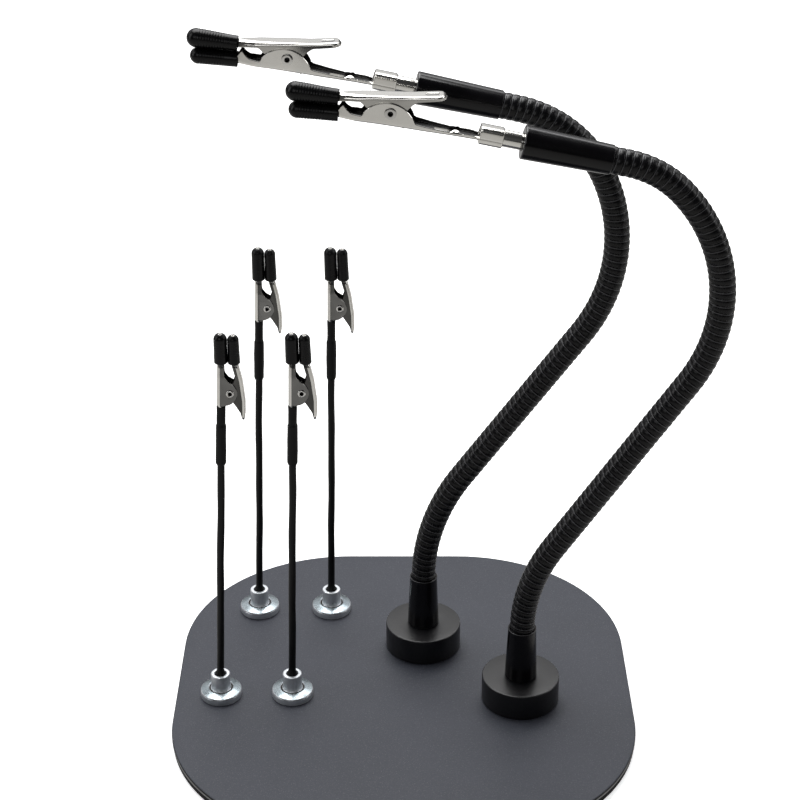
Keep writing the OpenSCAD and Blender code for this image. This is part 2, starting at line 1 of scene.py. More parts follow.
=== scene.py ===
"""Workbench helper: a coated steel base on a rubber pad, two gooseneck arms with clips and
four small board holders.

The base lies in the XY plane with +Z up; the necks of the arms curve in planes parallel to XZ.
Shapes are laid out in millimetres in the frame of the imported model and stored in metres.
A clip has its own frame: +X towards the tips of the jaws, Y across, +Z towards the lever.
"""

import json
import math

import bmesh
import bpy
import numpy as np
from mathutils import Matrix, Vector


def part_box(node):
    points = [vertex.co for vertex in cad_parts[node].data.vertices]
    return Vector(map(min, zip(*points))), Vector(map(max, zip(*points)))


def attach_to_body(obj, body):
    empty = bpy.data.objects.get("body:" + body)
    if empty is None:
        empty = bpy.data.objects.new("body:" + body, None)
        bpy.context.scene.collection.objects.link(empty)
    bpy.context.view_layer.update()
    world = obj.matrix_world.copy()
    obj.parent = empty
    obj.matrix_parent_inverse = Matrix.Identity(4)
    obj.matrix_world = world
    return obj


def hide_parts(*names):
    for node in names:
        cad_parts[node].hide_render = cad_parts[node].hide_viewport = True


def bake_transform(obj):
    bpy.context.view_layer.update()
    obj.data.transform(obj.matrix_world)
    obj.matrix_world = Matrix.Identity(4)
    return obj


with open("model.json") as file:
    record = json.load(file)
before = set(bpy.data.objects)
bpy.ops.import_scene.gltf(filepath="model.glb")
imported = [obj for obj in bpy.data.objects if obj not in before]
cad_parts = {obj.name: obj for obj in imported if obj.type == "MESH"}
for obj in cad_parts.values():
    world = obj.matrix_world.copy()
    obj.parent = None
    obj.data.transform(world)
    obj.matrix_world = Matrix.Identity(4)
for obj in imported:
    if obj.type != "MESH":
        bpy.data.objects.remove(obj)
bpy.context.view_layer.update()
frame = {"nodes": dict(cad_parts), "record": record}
JOINTS = {joint["name"]: joint for joint in frame["record"]["behaviour"]["joints"]}
MM = 0.001
RAD = math.radians


def box_mm(node):
    low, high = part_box(node)
    return np.array(low) / MM, np.array(high) / MM


# ------------------------------------------------------------------ driving sizes, mm
PLATE_LOW, PLATE_HIGH = box_mm("base_plate")
PLATE_BOTTOM, PLATE_TOP = PLATE_LOW[2], PLATE_HIGH[2]
CORNER = 66.0  # radius of the corners of the plate in plan

FOOT_H, LOWER_FERRULE_H, UPPER_FERRULE_L = 11.0, 22.0, 31.0
NECK_BASE = FOOT_H + LOWER_FERRULE_H
NECK_R, PITCH = 4.8, 2.7  # outer radius of the winding, and its length for each turn
NECK_END = 6.0  # straight length under the upper ferrule
# first radius and angle, straight length, second radius and angle, third radius and angle
NECKS = {
    "front": (65.9, 33.4, 83, 59.2, 77.6, 37.2, 33.8),
    "back": (80, 35.4, 75.3, 62.7, 62.5, 45.6, 50.8),
}
PIVOT_X, PIVOT_Z = 46.0, 2.0  # pivot of a large clip, in the clip's frame
JAW_HALF, LEVER_HALF = 4.3, 3.6  # half widths of a large clip

POT_H = 4.0
MOUTH_Z = POT_H + 6.2
TILT_Z = MOUTH_Z - 1.2  # height about which a stem leans
HOLDER_LEANS = {"fl": 2.5, "fr": 1.5, "bl": 1.8, "br": 0.9}  # degrees towards +X
# by the first letter of the holder: clip height, lower sleeve parts, longer boots
HOLDER_ROWS = {"f": (128.9, 0.8, 0.0), "b": (134.4, 1.8, 1.5)}
FIRST_SEED = 11
SMALL_PIVOT_X, SMALL_PIVOT_Z = 5.9, 3.4
SMALL_JAW_HALF, SMALL_LEVER_HALF = 2.5, 1.95


# ------------------------------------------------------------------ frames
def frame_matrix(origin, x_axis, y_axis, z_axis):
    matrix = np.eye(4)
    matrix[:3, 0], matrix[:3, 1], matrix[:3, 2], matrix[:3, 3] = x_axis, y_axis, z_axis, origin
    return matrix


def upright(origin):
    return frame_matrix(origin, (1, 0, 0), (0, 1, 0), (0, 0, 1))


def axis_frame(origin, direction):
    """Frame whose Z axis is the direction; its Y axis stays near +Y."""
    z_axis = direction / np.linalg.norm(direction)
    y_axis = np.array((0, 1, 0)) - z_axis[1] * z_axis
    y_axis /= np.linalg.norm(y_axis)
    return frame_matrix(origin, np.cross(y_axis, z_axis), y_axis, z_axis)


def pivot_frame(clip, x, z):
    """Frame at a clip's pivot, with its Z axis along the pin."""
    return clip @ frame_matrix((x, 0, z), (1, 0, 0), (0, 0, -1), (0, 1, 0))


# turns a clip's frame so that Z runs along the clip
ALONG_CLIP = frame_matrix((0, 0, 0), (0, 0, -1), (0, 1, 0), (1, 0, 0))


def place(matrix, points):
    return np.asarray(points, float) @ matrix[:3, :3].T + matrix[:3, 3]


def on_plate(node):
    """Point of the plate's top under the middle of a node."""
    low, high = box_mm(node)
    return np.array([(low[0] + high[0]) / 2, (low[1] + high[1]) / 2, PLATE_TOP])


def check_joint(joint, point):
    """Stops the build where a shape has left its joint."""
    gap = np.linalg.norm(np.array(JOINTS[joint]["pos_m"]) / MM - point)
    assert gap < 0.3, joint


def attach(ob, body, slot, *nodes):
    """Fixes a piece to a body, in place of the nodes given."""
    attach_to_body(ob, body)
    if nodes:
        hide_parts(*nodes)


# ------------------------------------------------------------------ mesh helpers
def dress(mesh, materials, sharp):
    """Smooth shading, sharp edges above an angle in degrees, and the materials."""
    index = np.zeros(len(mesh.polygons), np.int32)
    mesh.polygons.foreach_get("material_index", index)
    mesh.materials.clear()  # this resets the faces' indices, so they are put back below
    for material in materials:
        mesh.materials.append(material)
    mesh.polygons.foreach_set("use_smooth", [True] * len(mesh.polygons))
    mesh.polygons.foreach_set("material_index", index)
    mesh.update()
    mesh.set_sharp_from_angle(angle=RAD(sharp))


class Shape:
    """Closed shells gathered into one mesh."""

    def __init__(self):
        self.verts, self.faces, self.marks, self.count = [], [], [], 0

    def add(self, part, matrix=np.eye(4), marks=None):
        """Adds (vertices, faces); marks hold the material index of each face."""
        verts, faces = part
        self.verts.append(place(matrix, verts))
        self.faces += [tuple(int(i) + self.count for i in face) for face in faces]
        self.marks += marks or [0] * len(faces)
        self.count += len(verts)
        return self

    def build(self, name, materials, sharp=32, weld=False):
        mesh = bpy.data.meshes.new(name)
        mesh.from_pydata((np.vstack(self.verts) * MM).tolist(), [], self.faces)
        mesh.polygons.foreach_set("material_index", self.marks)
        bm = bmesh.new()
        bm.from_mesh(mesh)
        if weld:
            bmesh.ops.remove_doubles(bm, verts=bm.verts, dist=2e-6)
            rim = [edge for edge in bm.edges if edge.is_boundary]
            bmesh.ops.holes_fill(bm, edges=rim, sides=0)
        bmesh.ops.recalc_face_normals(bm, faces=bm.faces)
        bm.to_mesh(mesh)
        bm.free()
        dress(mesh, materials, sharp)
        ob = bpy.data.objects.new(name, mesh)
        bpy.context.scene.collection.objects.link(ob)
        return ob


def loft(rings):
    """Capped skin over rings of equal point count."""
    points = np.asarray(rings, float)
    rows, size = points.shape[:2]
    index = np.arange(rows * size).reshape(rows, size)
    a, b = index[:-1], index[1:]
    quads = np.stack([a, np.roll(a, -1, 1), np.roll(b, -1, 1), b], -1).reshape(-1, 4)
    faces = [tuple(quad) for quad in quads]
    faces += [tuple(index[0][::-1]), tuple(index[-1])]
    return points.reshape(-1, 3), faces


def lathe(profile, seg, closed=False, wobble=None):
    """Turns (radius, height) points round Z. An open profile starts and ends at radius 0."""
    verts, rows = [], []
    ang = np.arange(seg) * 2 * math.pi / seg
    for radius, z in profile:
        if radius < 1e-6:
            rows.append([len(verts)])
            verts.append((0.0, 0.0, z))
        else:
            radii = radius + (wobble(ang, z) if wobble else 0 * ang)
            rows.append(list(range(len(verts), len(verts) + seg)))
            verts += list(zip(radii * np.cos(ang), radii * np.sin(ang), [z] * seg))
    faces = []
    pairs = list(zip(rows[:-1], rows[1:]))
    if closed:
        pairs.append((rows[-1], rows[0]))
    for a, b in pairs:
        for i in range(seg):
            j = (i + 1) % seg
            if len(a) == 1:
                faces.append((a[0], b[i], b[j]))
            elif len(b) == 1:
                faces.append((a[i], b[0], a[j]))
            else:
                faces.append((a[i], a[j], b[j], b[i]))
    return np.array(verts), faces


def turned(name, profile, seg, matrix, materials, sharp, closed=False, zone=None, wobble=None):
    """Turned object. zone(radius, z) gives a material; a face takes it if both ends agree."""
    marks = None
    if zone:
        zones = [int(zone(radius, z)) for radius, z in profile]
        following = zones[1:] + (zones[:1] if closed else [])
        marks = [a if a == b else 0 for a, b in zip(zones, following) for _ in range(seg)]
    part = lathe(profile, seg, closed, wobble)
    return Shape().add(part, matrix, marks).build(name, materials, sharp)


def rounded(corners, steps, closed=False):
    """Polyline through (x, y, rounding) corners; the rounding of an open end is not used."""
    points = [np.array(corner[:2], float) for corner in corners]
    count = len(points)
    out = []
    for i, (*_, rounding) in enumerate(corners):
        here = points[i]
        if (not closed and i in (0, count - 1)) or rounding <= 0:
            out.append(here)
            continue
        to_last, to_next = points[i - 1] - here, points[(i + 1) % count] - here
        last_len, next_len = np.linalg.norm(to_last), np.linalg.norm(to_next)
        to_last, to_next = to_last / last_len, to_next / next_len
        angle = math.acos(max(-1, min(1, float(np.dot(to_last, to_next)))))
        if angle > 3.1:  # all but straight
            out.append(here)
            continue
        trim = min(rounding / math.tan(angle / 2), 0.48 * last_len, 0.48 * next_len)
        radius = trim * math.tan(angle / 2)
        middle = to_last + to_next
        centre = here + middle / np.linalg.norm(middle) * (radius / math.sin(angle / 2))
        first, last = here + to_last * trim - centre, here + to_next * trim - centre
        start = math.atan2(first[1], first[0])
        sweep = math.atan2(last[1], last[0]) - start
        sweep = (sweep + math.pi) % (2 * math.pi) - math.pi
        for step in range(steps + 1):
            turn = start + sweep * step / steps
            out.append(centre + radius * np.array([math.cos(turn), math.sin(turn)]))
    return [tuple(point) for point in out]


def tube(points, radius, seg=10):
    """Round wire with rounded ends, along a polyline that starts square to Z."""
    points = np.asarray(points, float)
    tangents = np.gradient(points, axis=0)
    tangents /= np.linalg.norm(tangents, axis=1)[:, None]
    ang = np.arange(seg) * 2 * math.pi / seg
    rings = []
    across = np.array([0.0, 0.0, 1.0])
    for i, (point, tangent) in enumerate(zip(points, tangents)):
        across = across - np.dot(across, tangent) * tangent
        across /= np.linalg.norm(across)
        circle = np.outer(np.cos(ang), across) + np.outer(np.sin(ang), np.cross(tangent, across))
        if i == 0:
            for size in (0.35, 0.8):
                rings.append(point - tangent * radius * (1 - size) * 0.9 + radius * size * circle)
        rings.append(point + radius * circle)
        if i == len(points) - 1:
            for size in (0.8, 0.35):
                rings.append(point + tangent * radius * (1 - size) * 0.9 + radius * size * circle)
    return loft(rings)


def cut(ob, cutter):
    """Applies a boolean difference and removes the cutter."""
    modifier = ob.modifiers.new("cut", "BOOLEAN")
    modifier.operation, modifier.solver, modifier.object = "DIFFERENCE", "EXACT", cutter
    bpy.context.view_layer.update()
    evaluated = ob.evaluated_get(bpy.context.evaluated_depsgraph_get())
    mesh = bpy.data.meshes.new_from_object(evaluated)
    ob.modifiers.clear()
    old = ob.data
    name, materials = old.name, list(old.materials)
    ob.data = mesh
    bpy.data.meshes.remove(old)
    mesh.name = name
    dress(mesh, materials, 32)
    data = cutter.data
    bpy.data.objects.remove(cutter)
    bpy.data.meshes.remove(data)


def slot_cutter(x0, x1, radius, z0, z1):
    """Upright slot between two centres on X."""
    angles = np.linspace(-math.pi / 2, math.pi / 2, 12)
    ring = [(x1 + radius * math.cos(a), radius * math.sin(a)) for a in angles]
    ring += [(x0 - radius * math.cos(a), -radius * math.sin(a)) for a in angles]
    return loft([[(x, y, z) for x, y in ring] for z in (z0, z1)])


def bore_cutter(radius, reach, seg):
    return lathe([(0, -reach), (radius, -reach), (radius, reach), (0, reach)], seg)


# ------------------------------------------------------------------ folded sheet
WALL_POINTS, FOLD_STEPS, FLOOR_STEPS = 7, 6, 4  # points and steps of each side of a section


def smooth_curve(along, stations, soften):
    """Polyline of (place, value) stations, with its corners softened over a length."""
    x, y = np.array(stations, float).T
    offsets = np.linspace(-2, 2, 17)
    weights = np.exp(-offsets**2 / 2)
    low, high = along.min(), along.max()
    total = sum(
        weight * np.interp(np.clip(along + offset * soften, low, high), x, y)
        for offset, weight in zip(offsets, weights)
    )
    return total / weights.sum()


def arch(along, centre, radius):
    """Height of a circle above its centre."""
    return np.sqrt(np.clip(radius**2 - (along - centre) ** 2, 0, None))


def with_hump(along, edge, x, z, radius, reach):
    """Raises an edge to a circle, within reach of its centre."""
    raised = np.maximum(edge, z + arch(along, x, radius))
    return np.where(np.abs(along - x) < reach, raised, edge)


def with_ear(along, edge, x, z, radius, reach):
    """Lowers an edge to a circle, within reach of its centre."""
    lowered = np.minimum(edge, z - arch(along, x, radius))
    return np.where(np.abs(along - x) < reach, lowered, edge)


def round_end(along, half, start, width, length, least):
    """Half widths drawn in to an ellipse below the start."""
    ellipse = width * np.sqrt(np.clip(1 - ((start - along) / length) ** 2, least, 1))
    return np.where(along < start, ellipse, half)


def end_stations(start, length, count):
    """Stations packed closely at a rounded end."""
    return start + length * (1 - np.cos(np.linspace(0.05, math.pi / 2, count)))


def channel(matrix, along, floor, edge, half, side, thick, fold, lean=0.0):
    """Sheet folded to a channel along X: a floor, and walls that rise to the edge.

    The walls stand on the side (1 or -1) of the floor along Z, half is the half width, fold
    the outer fold radius and lean the amount by which the walls' edges come inwards.
    Material 0 is on the fold and the rims, 1 on the inner faces, where painted shade goes, 2 on
    the outer walls, where some clips take a darker, painted-shade copy.
    """
    rings = []
    fold, lean = np.broadcast_to(fold, along.shape), np.broadcast_to(lean, along.shape)
    heights = (edge - floor) * side
    quarter = np.linspace(0, math.pi / 2, FOLD_STEPS + 1)[1:]
    rim = min(0.16, thick * 0.34)
    for x, base, height, width, bend, inward in zip(along, floor, heights, half, fold, lean):
        height = max(height, thick + 0.12)
        width = max(width, 0.25)
        bend = min(bend, height * 0.8, width * 0.9)
        inner_width = max(width - thick, 0.03)
        inner_bend = min(max(bend - thick, 0.05), inner_width * 0.9)
        inner_top = min(thick + inner_bend, height - rim - 0.02)

        def wall_y(rise):
            share = max(0.0, (rise - bend) / (height - bend))
            return width - inward * share * share

        outer = [(wall_y(q), q) for q in np.linspace(height - rim, bend, WALL_POINTS)]
        outer += [(width - bend + bend * math.cos(a), bend - bend * math.sin(a)) for a in quarter]
        outer += [(y, 0.0) for y in np.linspace(width - bend, 0, FLOOR_STEPS + 1)[1:-1]]
        inner = [
            (max(wall_y(q) - thick, 0.02), q)
            for q in np.linspace(height - rim, inner_top, WALL_POINTS)
        ]
        flat = inner_width - inner_bend
        inner += [
            (max(flat + inner_bend * math.cos(a), 0.01),
             inner_top - math.sin(a) * (inner_top - thick))
            for a in quarter
        ]
        inner += [(y, thick) for y in np.linspace(max(flat, 0.01), 0, FLOOR_STEPS + 1)[1:-1]]
        tip_out = wall_y(height) - rim * 0.9
        tip_in = max(wall_y(height) - thick + rim * 0.9, 0.03)
        section = [(tip_out, height)] + outer + [(0.0, 0.0)]
        section += [(-y, q) for y, q in reversed(outer)] + [(-tip_out, height), (-tip_in, height)]
        section += [(-y, q) for y, q in inner] + [(0.0, thick)]
        section += list(reversed(inner)) + [(tip_in, height)]
        rings.append([(x, y, base + side * q) for y, q in section])
    wall = [2] * WALL_POINTS
    bottom = [0] * (2 * (FOLD_STEPS + FLOOR_STEPS))
    inside = [1] * (2 * (WALL_POINTS + FOLD_STEPS + FLOOR_STEPS))
    row = wall + bottom + wall + [0] + inside + [0]
    return Shape().add(loft(rings), matrix, row * (len(rings) - 1) + [0, 0])


# ------------------------------------------------------------------ shader graphs
class Graph:
    """Short names for the nodes of one node tree."""

    def __init__(self, tree):
        self.tree = tree
        tree.nodes.clear()

    def feed(self, socket, value):
        """Links an output to a socket, or sets a number, vector or RGB colour."""
        if hasattr(value, "is_output"):
            self.tree.links.new(value, socket)
        else:
            socket.default_value = (*value, 1.0) if socket.type == "RGBA" else value

    def node(self, kind, inputs=None, **settings):
        node = self.tree.nodes.new(kind)
        for key, value in settings.items():
            setattr(node, key, value)
        for key, value in (inputs or {}).items():
            self.feed(node.inputs[key], value)
        return node

    def remap(self, value, source, to=(0.0, 1.0)):
        """Maps the source range to another range."""
        ends = {"From Min": source[0], "From Max": source[1], "To Min": to[0], "To Max": to[1]}
        return self.node("ShaderNodeMapRange", {"Value": value, **ends}).outputs[0]

    def math(self, operation, a, b):
        return self.node("ShaderNodeMath", {0: a, 1: b}, operation=operation).outputs[0]

    def mix(self, share, a, b):
        return self.node("ShaderNodeMix", {0: share, 6: a, 7: b}, data_type="RGBA").outputs[2]

    def mix_shader(self, share, a, b):
        return self.node("ShaderNodeMixShader", {0: share, 1: a, 2: b}).outputs[0]

    def ray(self, kind):
        return self.node("ShaderNodeLightPath").outputs[f"Is {kind} Ray"]


class Material(Graph):
    """Principled material textured in object space; bump distances are in metres."""

    def __init__(self, name):
        self.material = bpy.data.materials.new(name)
        self.material.use_nodes = True
        super().__init__(self.material.node_tree)
        self.coords = self.node("ShaderNodeTexCoord").outputs["Object"]
        self.bsdf = self.node("ShaderNodeBsdfPrincipled")
        self.out = self.node("ShaderNodeOutputMaterial", {0: self.bsdf.outputs[0]})

    def surface(self, **inputs):
        """Sets the surface's inputs, with underscores for spaces."""
        for key, value in inputs.items():
            self.feed(self.bsdf.inputs[key.replace("_", " ")], value)
        return self.material

    def stretch(self, scale):
        vectors = {"Vector": self.coords, "Scale": scale}
        return self.node("ShaderNodeMapping", vectors).outputs[0]

    def noise(self, scale, detail, rough=0.55, vector=None):
        inputs = {"Vector": vector or self.coords, "Scale": scale}
        inputs.update(Detail=detail, Roughness=rough)
        return self.node("ShaderNodeTexNoise", inputs).outputs[0]

    def cells(self, scale):
        inputs = {"Vector": self.coords, "Scale": scale}
        return self.node("ShaderNodeTexVoronoi", inputs).outputs["Distance"]

    def cloud(self, pattern, source, dark, light):
        """Colour that goes from dark to light over a range of the pattern."""
        return self.mix(self.remap(pattern, source), dark, light)

    def edge_wear_and_highlight(self, base, source, amount, wear_and_highlight_color):
        """Mixes an edge colour in by a range of pointiness: partly wear, partly a painted
        highlight on rims and folds.
        """
        geometry = self.node("ShaderNodeNewGeometry")
        edge = self.remap(geometry.outputs["Pointiness"], source)
        return self.mix(self.math("MULTIPLY", edge, amount), base, wear_and_highlight_color)

    def bump(self, height, strength, distance, over=None):
        """Bump, laid over another one if given."""
        inputs = {"Height": height, "Strength": strength, "Distance": distance}
        if over is not None:
            inputs["Normal"] = over
        return self.node("ShaderNodeBump", inputs).outputs[0]


# ------------------------------------------------------------------ materials
def powder_coat():
    mat = Material("powder_coat")
    grain = mat.noise(scale=1500, detail=3, rough=0.6)
    pebble = mat.cells(scale=1100)
    patches = mat.noise(scale=22, detail=4, rough=0.6)
    speck = mat.remap(mat.noise(scale=2600, detail=1, rough=0.4), (0.62, 0.72))
    dark, light = (0.0265, 0.0300, 0.042), (0.0355, 0.0390, 0.0525)
    color = mat.cloud(patches, (0.35, 0.65), dark, light)
    color = mat.mix(mat.math("MULTIPLY", speck, 0.5), color, (0.10, 0.104, 0.115))
    color = mat.edge_wear_and_highlight(color, (0.53, 0.66), amount=0.35, wear_and_highlight_color=(0.18, 0.18, 0.185))
    uneven = mat.math("ADD", grain, mat.math("MULTIPLY", patches, 0.6))
    pebbled = mat.bump(pebble, strength=0.16, distance=0.00012)
    return mat.surface(
        Base_Color=color,
        Roughness=mat.remap(uneven, (0.5, 1.1), to=(0.50, 0.64)),
        Specular_IOR_Level=0.42,
        Normal=mat.bump(grain, strength=0.22, distance=0.00008, over=pebbled),
    )


def cut_edge():
    mat = Material("plate_cut_edge")
    streak = mat.noise(scale=260, detail=3, rough=0.6, vector=mat.stretch((1, 1, 14)))
    return mat.surface(
        Base_Color=mat.cloud(streak, (0.35, 0.7), (0.20, 0.205, 0.21), (0.42, 0.425, 0.43)),
        Metallic=0.75,
        Roughness=mat.remap(streak, (0.3, 0.7), to=(0.28, 0.5)),
        Normal=mat.bump(streak, strength=0.25, distance=0.00008),
    )


def pad_rubber():
    mat = Material("pad_rubber")
    fine = mat.noise(scale=1900, detail=4, rough=0.65)
    dimpled = mat.bump(mat.cells(scale=420), strength=0.35, distance=0.00025)
    dark, light = (0.010, 0.010, 0.011), (0.019, 0.019, 0.021)
    return mat.surface(
        Base_Color=mat.cloud(mat.noise(scale=60, detail=3), (0.35, 0.65), dark, light),
        Roughness=mat.remap(fine, (0.3, 0.7), to=(0.62, 0.82)),
        Specular_IOR_Level=0.35,
        Normal=mat.bump(fine, strength=0.3, distance=0.0001, over=dimpled),
    )


def black_enamel(name, rough, satin=0.0, tint=(0.0022, 0.0020, 0.0027), shine=0.28):
    """Enamel; satin from 0 to 1 deepens its bumps."""
    mat = Material(name)
    orange_peel = mat.noise(scale=520, detail=2, rough=0.5)
    dust = mat.noise(scale=3200, detail=2, rough=0.6)
    smear = mat.noise(scale=70, detail=4, rough=0.6)
    light = tuple(c * 1.6 + 0.0008 for c in tint)
    color = mat.cloud(smear, (0.35, 0.68), tint, light)
    uneven = mat.math("ADD", smear, dust)
    peel = mat.bump(orange_peel, strength=0.05 + satin * 0.05, distance=0.0002)
    return mat.surface(
        # edges lightened to grey by pointiness: a painted highlight on the rims
        Base_Color=mat.edge_wear_and_highlight(color, (0.54, 0.66), amount=0.6, wear_and_highlight_color=(0.11, 0.11, 0.115)),
        Specular_IOR_Level=shine,
        Coat_Weight=0.06,
        Coat_Roughness=rough * 0.6,
        Roughness=mat.remap(uneven, (0.7, 1.3), to=(rough - 0.05, rough + 0.09)),
        Normal=mat.bump(dust, strength=0.06 + satin * 0.1, distance=0.00004, over=peel),
    )


def neck_black(name, dark, light, edge_highlight, shine):
    mat = Material(name)
    grain = mat.noise(scale=1700, detail=4, rough=0.6)
    color = mat.cloud(mat.noise(scale=160, detail=3, rough=0.6), (0.35, 0.65), dark, light)
    return mat.surface(
        # pointiness lightens the edges of the windings: a painted highlight
        Base_Color=mat.edge_wear_and_highlight(color, (0.515, 0.60), amount=edge_highlight, wear_and_highlight_color=(0.06, 0.06, 0.063)),
        Metallic=0.0,
        Roughness=mat.remap(grain, (0.3, 0.7), to=(0.22, 0.30)),
        Specular_IOR_Level=shine,
        Normal=mat.bump(grain, strength=0.16, distance=0.00006),
    )


def plated(name, light, dark, rough, wear_and_highlight_color=(0.92, 0.92, 0.91)):
    """Nickel or steel, brushed along X."""
    mat = Material(name)
    patches = mat.noise(scale=60, detail=3, rough=0.5)
    brushed = mat.noise(scale=260, detail=2, rough=0.5, vector=mat.stretch((1, 7, 7)))
    color = mat.cloud(patches, (0.32, 0.7), dark, light)
    uneven = mat.math("ADD", brushed, patches)
    return mat.surface(
        # edges and folds take the edge colour by pointiness: a painted highlight on the dark
        # copies
        Base_Color=mat.edge_wear_and_highlight(color, (0.56, 0.70), amount=0.3, wear_and_highlight_color=wear_and_highlight_color),
        Metallic=1.0,
        Roughness=mat.remap(uneven, (0.7, 1.35), to=(rough - 0.025, rough + 0.04)),
        Normal=mat.bump(brushed, strength=0.012, distance=0.00003),
    )


def boot_rubber():
    mat = Material("boot_rubber")
    fine = mat.noise(scale=2400, detail=3, rough=0.6)
    smear = mat.noise(scale=190, detail=4, rough=0.6)
    smeared = mat.bump(smear, strength=0.08, distance=0.0003)
    dark, light = (0.0015, 0.0015, 0.0019), (0.0032, 0.0032, 0.0038)
    return mat.surface(
        Base_Color=mat.cloud(smear, (0.35, 0.7), dark, light),
        Specular_IOR_Level=0.24,
        Roughness=mat.remap(mat.math("ADD", smear, fine), (0.7, 1.3), to=(0.20, 0.32)),
        Normal=mat.bump(fine, strength=0.08, distance=0.00005, over=smeared),
    )


def zinc(name, dark, light, metallic, rough):
    mat = Material(name)
    flake = mat.cells(scale=900)
    patches = mat.noise(scale=210, detail=4, rough=0.6)
    lines = mat.noise(scale=900, detail=2, rough=0.5, vector=mat.stretch((0.15, 0.15, 6)))
    color = mat.cloud(patches, (0.32, 0.7), dark, light)
    uneven = mat.math("ADD", flake, patches)
    lined = mat.bump(lines, strength=0.04, distance=0.0001)
    return mat.surface(
        # edges go near white by pointiness: a painted highlight
        Base_Color=mat.edge_wear_and_highlight(color, (0.53, 0.64), amount=0.5, wear_and_highlight_color=(0.93, 0.94, 0.94)),
        Metallic=metallic,
        Roughness=mat.remap(uneven, (0.4, 1.2), to=(rough, rough + 0.12)),
        Normal=mat.bump(flake, strength=0.03, distance=0.00006, over=lined),
    )


def magnet_grey():
    mat = Material("sintered_magnet")
    fine = mat.noise(scale=1300, detail=4, rough=0.6)
    return mat.surface(
        Base_Color=mat.cloud(fine, (0.3, 0.7), (0.10, 0.10, 0.105), (0.20, 0.20, 0.205)),
        Metallic=0.5,
        Roughness=mat.remap(fine, (0.3, 0.7), to=(0.42, 0.6)),
        Normal=mat.bump(fine, strength=0.15, distance=0.00006),
    )


def black_plastic(name, tint, rough):
    mat = Material(name)
    fine = mat.noise(scale=2100, detail=3, rough=0.6)
    wave = mat.noise(scale=120, detail=3, rough=0.5)
    uneven = mat.math("ADD", fine, wave)
    wavy = mat.bump(wave, strength=0.10, distance=0.0004)
    return mat.surface(
        Base_Color=mat.cloud(wave, (0.35, 0.68), tint, tuple(c * 1.8 for c in tint)),
        Specular_IOR_Level=0.24,
        Roughness=mat.remap(uneven, (0.7, 1.3), to=(rough - 0.06, rough + 0.08)),
        Normal=mat.bump(fine, strength=0.10, distance=0.00005, over=wavy),
    )


M_PLATE, M_CUT, M_PAD = powder_coat(), cut_edge(), pad_rubber()
M_FOOT = black_enamel("enamel_satin", rough=0.34, satin=1.0, shine=0.45)
M_FERRULE = black_enamel("enamel_gloss", rough=0.17)
# lighter enamel for thin bands on the rims of the foot and ferrules: a painted highlight
M_RIM_HIGHLIGHT = black_enamel(
    "enamel_painted_rim_highlight", rough=0.24, satin=0.3, tint=(0.026, 0.026, 0.028), shine=0.5
)
M_NECK = neck_black(
    "neck_black_oxide", dark=(0.0022, 0.0022, 0.0028), light=(0.0045, 0.0045, 0.0054),
    edge_highlight=0.2, shine=0.26,
)
# lighter black for a thin line along each turn of the neck: a painted highlight
M_NECK_HIGHLIGHT_LINE = neck_black(
    "neck_painted_highlight_line", dark=(0.030, 0.030, 0.033), light=(0.055, 0.055, 0.060),
    edge_highlight=0.3, shine=0.5,
)
# near-black coat for the plate's sides and underside: painted shade
M_PLATE_SIDE_SHADE = black_enamel("plate_side_painted_shade", rough=0.5, satin=1.0, tint=(0.003, 0.003, 0.0035))
M_NICKEL = plated(
    "nickel_bright", light=(0.88, 0.865, 0.825), dark=(0.80, 0.785, 0.745), rough=0.15
)
M_RIVET = plated("rivet_steel", light=(0.80, 0.79, 0.76), dark=(0.66, 0.65, 0.63), rough=0.16)
# darker copy of the nickel for the small fixed jaws' walls and bores: painted shade
M_SMALL_JAW_SHADE = plated(
    "nickel_small_jaw_painted_shade", light=(0.25, 0.248, 0.24), dark=(0.15, 0.1485, 0.143), rough=0.18,
    wear_and_highlight_color=(0.85, 0.85, 0.83),
)
# very dark copy of the nickel for inner faces, bores and grooves: painted shade
M_NICKEL_PAINTED_SHADE = plated(
    "nickel_painted_shade", light=(0.045, 0.044, 0.042), dark=(0.022, 0.0215, 0.021), rough=0.26,
    wear_and_highlight_color=(0.3, 0.3, 0.29),
)
# darker copy of the nickel for the large lever's side walls: painted shade
M_LEVER_WALL_SHADE = plated(
    "nickel_lever_wall_painted_shade", light=(0.60, 0.59, 0.56), dark=(0.46, 0.455, 0.43), rough=0.17
)
# very dark copy of the nickel for the small levers' walls: painted shade
M_SHADE = plated(
    "nickel_small_wall_painted_shade", light=(0.13, 0.128, 0.122), dark=(0.065, 0.064, 0.061), rough=0.20,
    wear_and_highlight_color=(0.6, 0.6, 0.58),
)
M_BOOT = boot_rubber()
M_ZINC = zinc(
    "zinc_plate", dark=(0.56, 0.595, 0.62), light=(0.74, 0.76, 0.80), metallic=0.7, rough=0.26
)
M_MAGNET = magnet_grey()
# darker copy of the zinc for the cup's turned top: painted shade
M_ZINC_TOP_SHADE = zinc(
    "zinc_turned_top_painted_shade", dark=(0.26, 0.305, 0.33), light=(0.38, 0.43, 0.455), metallic=0.9,
    rough=0.16,
)
M_STEM = black_plastic("stem_plastic", tint=(0.0022, 0.0023, 0.0026), rough=0.36)
M_SHRINK = black_plastic("shrink_sleeve", tint=(0.0020, 0.0021, 0.0023), rough=0.46)


